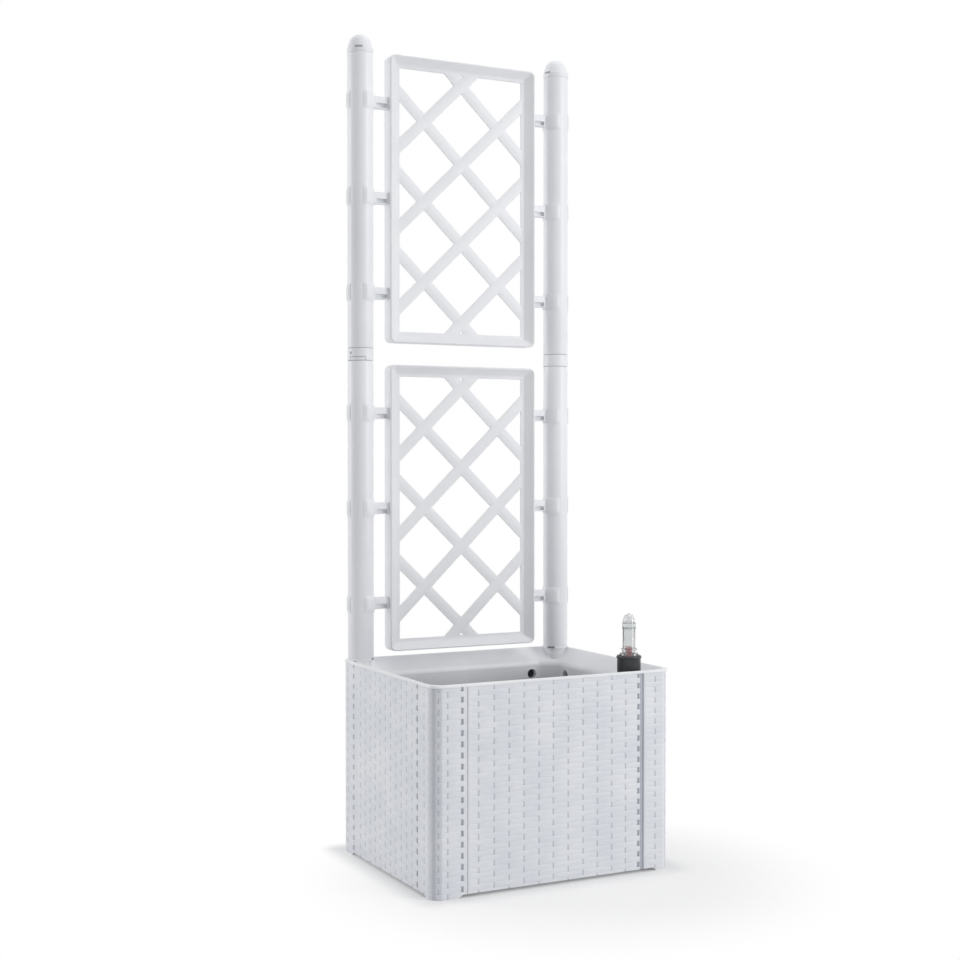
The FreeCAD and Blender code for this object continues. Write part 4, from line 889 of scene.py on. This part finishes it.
# a large thin moulding: even and matt, with broad faint flow clouds
trellis_white = moulded_polypropylene("white_polypropylene_trellis", "#f0f1f3", "#eaebee",
                                      roughness=0.4, cloud=110.0)
climb_rate = PITCH_Z / PITCH_X
for level, middle in PANEL_MIDDLES:
    shells = [lattice(np.stack([frame_ring(over, away) for over, away in section]),
                      around=True, along=True)]
    for lean in (1, -1):
        for step in (-3, -1, 1, 3):
            rate = lean * climb_rate
            crossing = step * PITCH_Z / 2
            # where the bar's middle line enters and leaves the window
            reach = (np.array([-window_z, window_z]) - crossing) / rate
            low_x = max(-window_x, reach.min())
            high_x = min(window_x, reach.max())
            way = np.array([1, rate]) / math.hypot(1, rate)
            start = np.array([low_x, crossing + rate * low_x]) - way * 12
            end = np.array([high_x, crossing + rate * high_x]) + way * 12
            shells.append(along_line(start, end, bar_outline[lean]))
    angle = np.linspace(0, 2 * math.pi, 96, endpoint=False)
    for sign in (1, -1):
        centre = sign * (window_z - TIE_DROP)
        # the gusset's edge at each angle round the hole is the nearest of its four sides
        slant = np.array([GUSSET_DROP, GUSSET_FOOT - GUSSET_NECK])
        slant = slant / np.hypot(*slant)
        side_reach = GUSSET_FOOT * slant[0] - TIE_DROP * slant[1]
        reach_out = np.array([side_reach, side_reach, GUSSET_DROP - TIE_DROP, GUSSET_ROOT])
        normals = np.array([[slant[0], -slant[1]], [-slant[0], -slant[1]], [0, -1], [0, 1]])
        ray = np.stack([np.cos(angle), np.sin(angle)])
        facing = normals @ ray
        distance = np.where(facing > 1e-6, reach_out[:, None] / np.maximum(facing, 1e-6), 1e9)
        edge = np.minimum(distance.min(axis=0), GUSSET_LIMIT) * ray
        hole = TIE_HOLE * ray
        for ring in (edge, hole):
            ring[1] = centre + sign * ring[1]
        shells.append(plate_with_hole(edge.T, hole.T, 1.84, 0.6))
    shells = [moved(shell, y=POST_Y, z=middle) for shell in shells]
    piece(f"trellis_{level}_panel", "planter", trellis_white,
          [f"trellis_{level}"], shells)

# ---------------------------------------------------------------- clips
# Twelve polypropylene clips hold the panels. Each is a split ring that snaps round a
# post, with a pocketed arm and a pin that plugs into the panel's side. The right-hand
# clips mirror the left-hand ones.

CLIP_PITCH = 162.0
CLIP_HALF = 14.5
CLIP_IN = 22.05
CLIP_OUT = 24.15
CLIP_EDGE = 22.75
MOUTH_HALF = 33.0
MOUTH_TAPER = 16.0
ARM_END = POST_X - PANEL_X
ARM_HALF = 10.0
ARM_DEEP = 7.0
POCKET = 7.2
POCKET_LOW = -8.4
POCKET_INSET = 3.0
WEB_HALF = 1.0
PIN_R = 4.0
PIN_LONG = 11.0


def split_ring(facing):
    """A ring round the post, open where it faces, with a crowned outer side.

    The crown falls by the fourth power of the height to the ring's edges, and by a smooth
    step over the last degrees before the mouth.
    """
    degrees = np.linspace(facing + MOUTH_HALF, facing - MOUTH_HALF + 360, 120)
    from_mouth = np.minimum(degrees - degrees[0], degrees[-1] - degrees) / MOUTH_TAPER
    full = np.clip(from_mouth, 0, 1)[:, None]
    full = full * full * (3 - 2 * full)
    level = np.linspace(-1, 1, 17)
    crown = CLIP_EDGE + (CLIP_OUT - CLIP_EDGE) * (1 - level ** 4) * full
    radius = np.concatenate([crown, np.full((120, 2), CLIP_IN)], axis=1)
    height = CLIP_HALF * np.append(level, [1, -1])
    angle = np.radians(degrees)[:, None]
    points = np.stack([radius * np.cos(angle), radius * np.sin(angle),
                       np.broadcast_to(height, radius.shape)], axis=-1)
    return lattice(points, along=True, ends=True)


arm_start = CLIP_IN + 0.9
arm_edge = rounded([(arm_start, -ARM_HALF), (ARM_END, -ARM_HALF), (ARM_END, ARM_HALF),
                    (arm_start, ARM_HALF)], 1.0, 5)
pocket_start, pocket_end = CLIP_OUT + POCKET_INSET, ARM_END - POCKET_INSET
pocket = [(pocket_start, POCKET_LOW), (pocket_end, POCKET_LOW),
          (pocket_end, POCKET_LOW + POCKET), (pocket_start, POCKET_LOW + POCKET)]
clip_arm = plate_with_hole(arm_edge, rounded(pocket, 0.8, 5), ARM_DEEP, 1.0)
web = [(pocket_start - 1, POCKET_LOW - 0.5), (pocket_end + 1, POCKET_LOW - 0.5),
       (pocket_end + 1, POCKET_LOW + POCKET + 1), (pocket_start - 1, POCKET_LOW + POCKET + 1)]
clip_web = moved(prism(web, -WEB_HALF, WEB_HALF), tip="y")
pin = rounded([(0, ARM_END - 1), (PIN_R, ARM_END - 1), (PIN_R, ARM_END + PIN_LONG),
               (0, ARM_END + PIN_LONG)], [0, 0, 1, 0], 4, closed=False)
clip_pin = moved(turned(pin, 40), tip="x")
# small smooth mouldings that almost vanish against the posts
clip_white = moulded_polypropylene("white_polypropylene_clip", "#f3f4f7", "#eceef2",
                                   roughness=0.38, grain=0.7)
for hand, clip_x, side, mouth in (("left", -POST_X, 1, -131.0), ("right", POST_X, -1, -65.0)):
    for level, middle in PANEL_MIDDLES:
        for step in (-1, 0, 1):
            flip = np.array([side, 1, 1])
            parts = [(part[0] * flip,) + part[1:] for part in (clip_arm, clip_web, clip_pin)]
            parts.append(split_ring(mouth))
            parts = [moved(part, clip_x, POST_Y, middle + step * CLIP_PITCH) for part in parts]
            node = f"clip_{level}_{hand}_{step + 2}"
            piece(f"{node}_moulding", "planter", clip_white, [node], parts)

# ---------------------------------------------------------------- water level indicator
# A black ABS collar plugs into the filler shaft and carries a white guide disc and a clear
# styrene tube with a domed cap. The red marker in the tube rides on the float's rod.

COLLAR_TOP = 348.0
GLASS_LOW = 343.0


def plain_plastic(name, colour, shade, roughness, ior, grain, cloud, strength=0.2):
    """A coloured moulding: two close colours in soft clouds, a fine grain in its gloss."""
    material, tree, place = bare_material(name)
    clouds = add_node(tree, "TexNoise", [("Vector", place), ("Scale", 1000 / cloud),
                                         ("Detail", 3.0)])
    body = add_node(tree, "Mix", [(0, clouds.outputs["Fac"]), (6, linear(shade)),
                                  (7, linear(colour))], data_type="RGBA")
    specks = add_node(tree, "TexNoise", [("Vector", place), ("Scale", 1000 / grain)])
    gloss = add_node(tree, "MapRange", [("Value", specks.outputs["Fac"]),
                                        ("To Min", roughness * 0.8),
                                        ("To Max", roughness * 1.2)])
    bump = add_node(tree, "Bump", [("Height", specks.outputs["Fac"]), ("Strength", strength),
                                   ("Distance", 0.0001)])
    shader = add_node(tree, "BsdfPrincipled", [
        ("Base Color", body.outputs[2]), ("Roughness", gloss.outputs["Result"]),
        ("Normal", bump.outputs["Normal"]), ("IOR", ior),
    ])
    add_node(tree, "OutputMaterial", [("Surface", shader.outputs["BSDF"])])
    return material, tree, shader


def on_shaft(outline, radii, steps=4, sides=96, closed=True):
    """An outline with rounded corners, turned about the shaft's axis."""
    profile = rounded(outline, radii, steps, closed)
    return moved(turned(profile, sides, closed), SHAFT_X, SHAFT_Y)


# semi-gloss black gives narrow highlights, white acetal is milky and even
collar_black, _, _ = plain_plastic("black_abs_collar", "#2b2c2f", "#1c1d20", 0.28, 1.53, 0.8, 12)
guide_white, _, _ = plain_plastic("white_acetal_guide", "#e4e5e6", "#d9dadc", 0.35, 1.48, 0.8, 15)
# clear styrene is nearly colourless, with bright rims where it bends the light
clear_styrene, _, clear_shader = plain_plastic(
    "clear_styrene_tube", "#f2f3f3", "#e3e5e6", 0.06, 1.57, 2.5, 18, strength=0.08)
clear_shader.inputs["Transmission Weight"].default_value = 0.93
# the red is strong, so it shows through the tube
marker_red, _, _ = plain_plastic("red_abs_marker", "#d01f3a", "#b31730", 0.3, 1.53, 0.8, 8)
collar_outline = [
    (15.4, 300.0), (17.4, 300.0), (17.4, 318.0), (19.25, 318.0), (19.25, 343.0), (20.5, 344.2),
    (20.5, 346.0), (19.25, COLLAR_TOP), (17.1, COLLAR_TOP), (17.1, GLASS_LOW), (15.4, GLASS_LOW),
    (15.4, 320.0), (13.4, 320.0), (13.4, 318.0), (15.4, 318.0)]
collar = on_shaft(collar_outline, [0.4, 0.6, 0.2, 0.6, 1, 0.6, 0.6, 0.8, 0.4, 0.2, 0.3, 0.2,
                                   0.3, 0.3, 0.2])
piece("indicator_collar_ring", "indicator", collar_black,
      ["indicator_collar"], [collar])
guide_outline = [(2.58, 320.0), (15.3, 320.0), (15.3, 323.0), (2.58, 323.0)]
guide = on_shaft(guide_outline, 0.5, 3, 72)
piece("indicator_guide_disc", "indicator", guide_white,
      ["indicator_guide"], [guide])
glass_outline = [
    (9.0, 343.0), (17.0, 343.0), (17.0, 347.0), (15.0, 347.0), (15.0, 352.0), (11.5, 352.0),
    (11.5, 356.5), (13.0, 356.5), (13.0, 359.5), (10.25, 359.5), (10.25, 394.0), (9.0, 394.0)]
glass = on_shaft(glass_outline, [0.3, 0.3, 0.5, 0.3, 1.2, 0.8, 0.6, 0.8, 0.9, 0.8, 0.3, 0.3])
piece("indicator_tube_glass", "indicator", clear_styrene,
      ["indicator_tube"], [glass])
dome_outline = [
    (10.3, 391.0), (11.2, 391.0), (11.2, 401.0), (10.25, 401.0), (9.9, 406.5), (7.4, 413.4),
    (0, 416.5), (0, 414.9), (6.2, 412.0), (8.3, 406.0), (9.0, 401.0), (9.0, 394.0), (10.3, 394.0)]
dome_rounds = [0.2, 1.4, 1.6, 0.4, 6, 5, 0, 0, 4, 5, 1, 0.2, 0.2]
dome = on_shaft(dome_outline, dome_rounds)
piece("indicator_cap_dome", "indicator", clear_styrene,
      ["indicator_cap"], [dome])

# ---------------------------------------------------------------- float
# An expanded polystyrene block floats on the water in the shaft. A nylon rod glued in it
# carries the red ABS marker up into the clear tube.

marker_outline = [(2.5, 342.0), (5.5, 342.0), (5.5, 346.0), (3.6, 346.0), (3.6, 352.0),
                  (5.5, 352.0), (5.5, 360.0), (0, 360.0), (0, 352.0), (2.5, 352.0)]
marker_rounds = [0.2, 0.9, 0.7, 0.6, 0.6, 0.7, 1.6, 0, 0, 0]
marker = on_shaft(marker_outline, marker_rounds, sides=64)
piece("float_marker_bead", "float", marker_red, ["float_marker"], [marker])
rod_outline = [(0, 44.1), (2.5, 44.1), (2.5, 352.0), (0, 352.0)]
rod = on_shaft(rod_outline, [0, 0.5, 0.5, 0], 3, 40, closed=False)
# natural nylon is a warm cream white
rod_nylon, _, _ = plain_plastic("natural_nylon_rod", "#e2ded2", "#d6d1c3", 0.35, 1.53, 0.8, 20)
piece("float_rod_bar", "float", rod_nylon, ["float_rod"], [rod])

BEAD_SIZE = 3.0
FLOAT_LOW = 14.1
FLOAT_HIGH = 54.1
# fused beads: white and matt, with a darker net between the beads
foam, tree, place = bare_material("expanded_polystyrene_foam")
cells = add_node(tree, "TexVoronoi", [("Vector", place), ("Scale", 1000 / BEAD_SIZE)],
                 feature="DISTANCE_TO_EDGE")
beads = add_node(tree, "MapRange", [("Value", cells.outputs["Distance"]), ("From Max", 0.14)])
foam_colour = add_node(tree, "Mix", [(0, beads.outputs["Result"]), (6, linear("#c9cac9")),
                                     (7, linear("#f1f1ee"))], data_type="RGBA")
foam_bump = add_node(tree, "Bump", [("Height", beads.outputs["Result"]), ("Strength", 0.5),
                                    ("Distance", 0.0003)])
foam_shader = add_node(tree, "BsdfPrincipled", [
    ("Base Color", foam_colour.outputs[2]), ("Roughness", 0.75),
    ("Normal", foam_bump.outputs["Normal"])])
add_node(tree, "OutputMaterial", [("Surface", foam_shader.outputs["BSDF"])])
float_outline = [(0, FLOAT_LOW), (12.5, FLOAT_LOW), (12.5, FLOAT_HIGH), (2.5, FLOAT_HIGH),
                 (2.5, 44.1), (0, 44.1)]
block = on_shaft(float_outline, [0, 2, 2, 0.3, 0, 0], 5, 72, closed=False)
piece("float_block_foam", "float", foam, ["float_block"], [block])

# ---------------------------------------------------------------- inner parts
# The shaft, the perforated soil shelf and the floor plate are plain polypropylene
# mouldings, and the screws are zinc-plated steel blackened by oil. Their shapes are right
# as they are, so they only get their finish.

# plain greyish plastic for the shaft, dull white for shelf and plate, dark oiled steel
shaft_grey, _, _ = plain_plastic("grey_polypropylene_shaft", "#d3d5da", "#c6c9cf", 0.42,
                                 PP_IOR, 0.9, 40)
shelf_white = moulded_polypropylene("white_polypropylene_shelf", roughness=0.48, cloud=50.0)
plate_white = moulded_polypropylene("white_polypropylene_floor_plate", roughness=0.5,
                                    cloud=80.0)
screw_dark, _, screw_shader = plain_plastic("blackened_steel_screws", "#3a3b3f", "#26272a", 0.4,
                                            1.45, 0.6, 5)
screw_shader.inputs["Metallic"].default_value = 0.6
for node, finish in (("filler_shaft", shaft_grey), ("soil_shelf", shelf_white),
                     ("floor_plate", plate_white), ("liner_screws", screw_dark)):
    for place_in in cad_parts[node].material_slots:
        place_in.material = finish

# ---------------------------------------------------------------- studio
# A pale seamless floor that fades into a white backdrop, a large soft lamp to the front
# right, one to the back left, one overhead, and a dim even sky. The dark gap between the
# two side lamps gives the round posts and the near corner their shaded band, and painted
# shade deepens the band on the near corner.

FLOOR_R = 9000.0
floor_rings = np.concatenate([np.linspace(0, 2400, 25), [3200, 4500, FLOOR_R]])
floor_angle = np.linspace(0, 2 * math.pi, 97)[:-1, None]
floor_points = np.stack([floor_rings * np.cos(floor_angle), floor_rings * np.sin(floor_angle),
                         np.zeros((96, len(floor_rings)))], axis=-1) / 1000
floor_mesh = bpy.data.meshes.new("studio_floor")
flat_points, floor_quads, _, _ = lattice(floor_points * 1000, around=True)
floor_mesh.from_pydata((flat_points / 1000).tolist(), [], floor_quads.tolist())
close_seams(floor_mesh, 1e-6)
floor = bpy.data.objects.new("studio_floor", floor_mesh)
bpy.context.scene.collection.objects.link(floor)

paper, tree, place = bare_material("white_backdrop_paper")
fibres = add_node(tree, "TexNoise", [("Vector", place), ("Scale", 400.0), ("Detail", 3.0)])
tone = add_node(tree, "Mix", [(0, fibres.outputs["Fac"]), (6, linear("#f0f0f0")),
                              (7, linear("#f6f6f6"))], data_type="RGBA")
sheen = add_node(tree, "BsdfDiffuse", [("Color", tone.outputs[2])])
glow = add_node(tree, "Emission", [("Color", (1, 1, 1, 1)), ("Strength", 1.0)])
# the paper grows white with distance from a spot in front of the box, and stays dull in
# the last centimetres round the box, where its close shadow lies
away = add_node(tree, "VectorMath", [(0, place), (1, (0.05, -0.14, 0))], operation="SUBTRACT")
reach = add_node(tree, "VectorMath", [(0, away.outputs["Vector"])], operation="LENGTH")
fade = add_node(tree, "MapRange", [("Value", reach.outputs["Value"]), ("From Min", 0.18),
                                   ("From Max", 0.46), ("To Min", 0.55)],
                interpolation_type="SMOOTHSTEP")
across = add_node(tree, "VectorMath", [(0, place)], operation="ABSOLUTE")
beyond = add_node(tree, "VectorMath", [(0, across.outputs["Vector"]),
                                       (1, (WIDTH / 2000, DEPTH / 2000, 0))], operation="SUBTRACT")
beyond = add_node(tree, "VectorMath", [(0, beyond.outputs["Vector"]), (1, (0, 0, 0))],
                  operation="MAXIMUM")
gap = add_node(tree, "VectorMath", [(0, beyond.outputs["Vector"])], operation="LENGTH")
close = add_node(tree, "MapRange", [("Value", gap.outputs["Value"]), ("From Min", 0.0),
                                    ("From Max", 0.045), ("To Min", 0.3)],
                 interpolation_type="SMOOTHSTEP")
fade = add_node(tree, "Math", [(0, fade.outputs["Result"]), (1, close.outputs["Result"])],
                operation="MULTIPLY")


def seen_rays(tree):
    """1 for rays from the camera, a reflection or a clear part, and 0 for lighting rays."""
    path = add_node(tree, "LightPath")
    seen = add_node(tree, "Math", [(0, path.outputs["Is Camera Ray"]),
                                   (1, path.outputs["Is Glossy Ray"])], operation="MAXIMUM")
    return add_node(tree, "Math", [(0, seen.outputs["Value"]),
                                   (1, path.outputs["Is Transmission Ray"])],
                    operation="MAXIMUM").outputs["Value"]


share = add_node(tree, "Math", [(0, seen_rays(tree)), (1, fade.outputs["Value"])],
                 operation="MULTIPLY")
mixed = add_node(tree, "MixShader", [(0, share.outputs["Value"]), (1, sheen.outputs["BSDF"]),
                                     (2, glow.outputs["Emission"])])
add_node(tree, "OutputMaterial", [("Surface", mixed.outputs["Shader"])])
floor_mesh.materials.append(paper)

world = bpy.data.worlds.new("studio_sky")
bpy.context.scene.world = world
world.use_nodes = True
tree = world.node_tree
tree.nodes.clear()
sky = add_node(tree, "Background", [("Color", (0.98, 0.985, 1.0, 1)), ("Strength", 0.43)])
white = add_node(tree, "Background", [("Color", (1, 1, 1, 1)), ("Strength", 1.0)])
both = add_node(tree, "MixShader", [(0, seen_rays(tree)), (1, sky.outputs["Background"]),
                                    (2, white.outputs["Background"])])
add_node(tree, "OutputWorld", [("Surface", both.outputs["Shader"])])


def soft_lamp(name, azimuth, elevation, distance, width, height, watts):
    """A soft lamp that faces the planter's middle; azimuth 0 is in front, 90 to the right."""
    lamp = bpy.data.lights.new(name, "AREA")
    lamp.shape = "RECTANGLE"
    lamp.size, lamp.size_y, lamp.energy = width / 1000, height / 1000, watts
    made = bpy.data.objects.new(name, lamp)
    bpy.context.scene.collection.objects.link(made)
    turn, lift = math.radians(azimuth), math.radians(elevation)
    made.location = (distance / 1000 * math.sin(turn) * math.cos(lift),
                     -distance / 1000 * math.cos(turn) * math.cos(lift),
                     0.65 + distance / 1000 * math.sin(lift))
    made.rotation_euler = (math.pi / 2 - lift, 0, turn)
    return made


soft_lamp("front_softbox", 42, 18, 3200, 1300, 2600, 42)
soft_lamp("left_softbox", -128, 12, 3200, 1300, 2600, 30)
soft_lamp("top_softbox", 0, 88, 2900, 2200, 2200, 22)

# The camera stands to the front left and looks level, just over the box's rim.
CAMERA_AT = (-1.2120, -2.2799, 0.6702)
CAMERA_TURN = 27.156
CAMERA_DIP = 0.845
CAMERA_LENS = 58.14
eye = bpy.data.cameras.new("studio_camera")
eye.lens = CAMERA_LENS
eye.sensor_width = 36
camera = bpy.data.objects.new("studio_camera", eye)
bpy.context.scene.collection.objects.link(camera)
camera.location = CAMERA_AT
camera.rotation_euler = (math.radians(90 - CAMERA_DIP), 0, -math.radians(CAMERA_TURN))
bpy.context.scene.camera = camera
bpy.context.scene.view_settings.view_transform = "Standard"
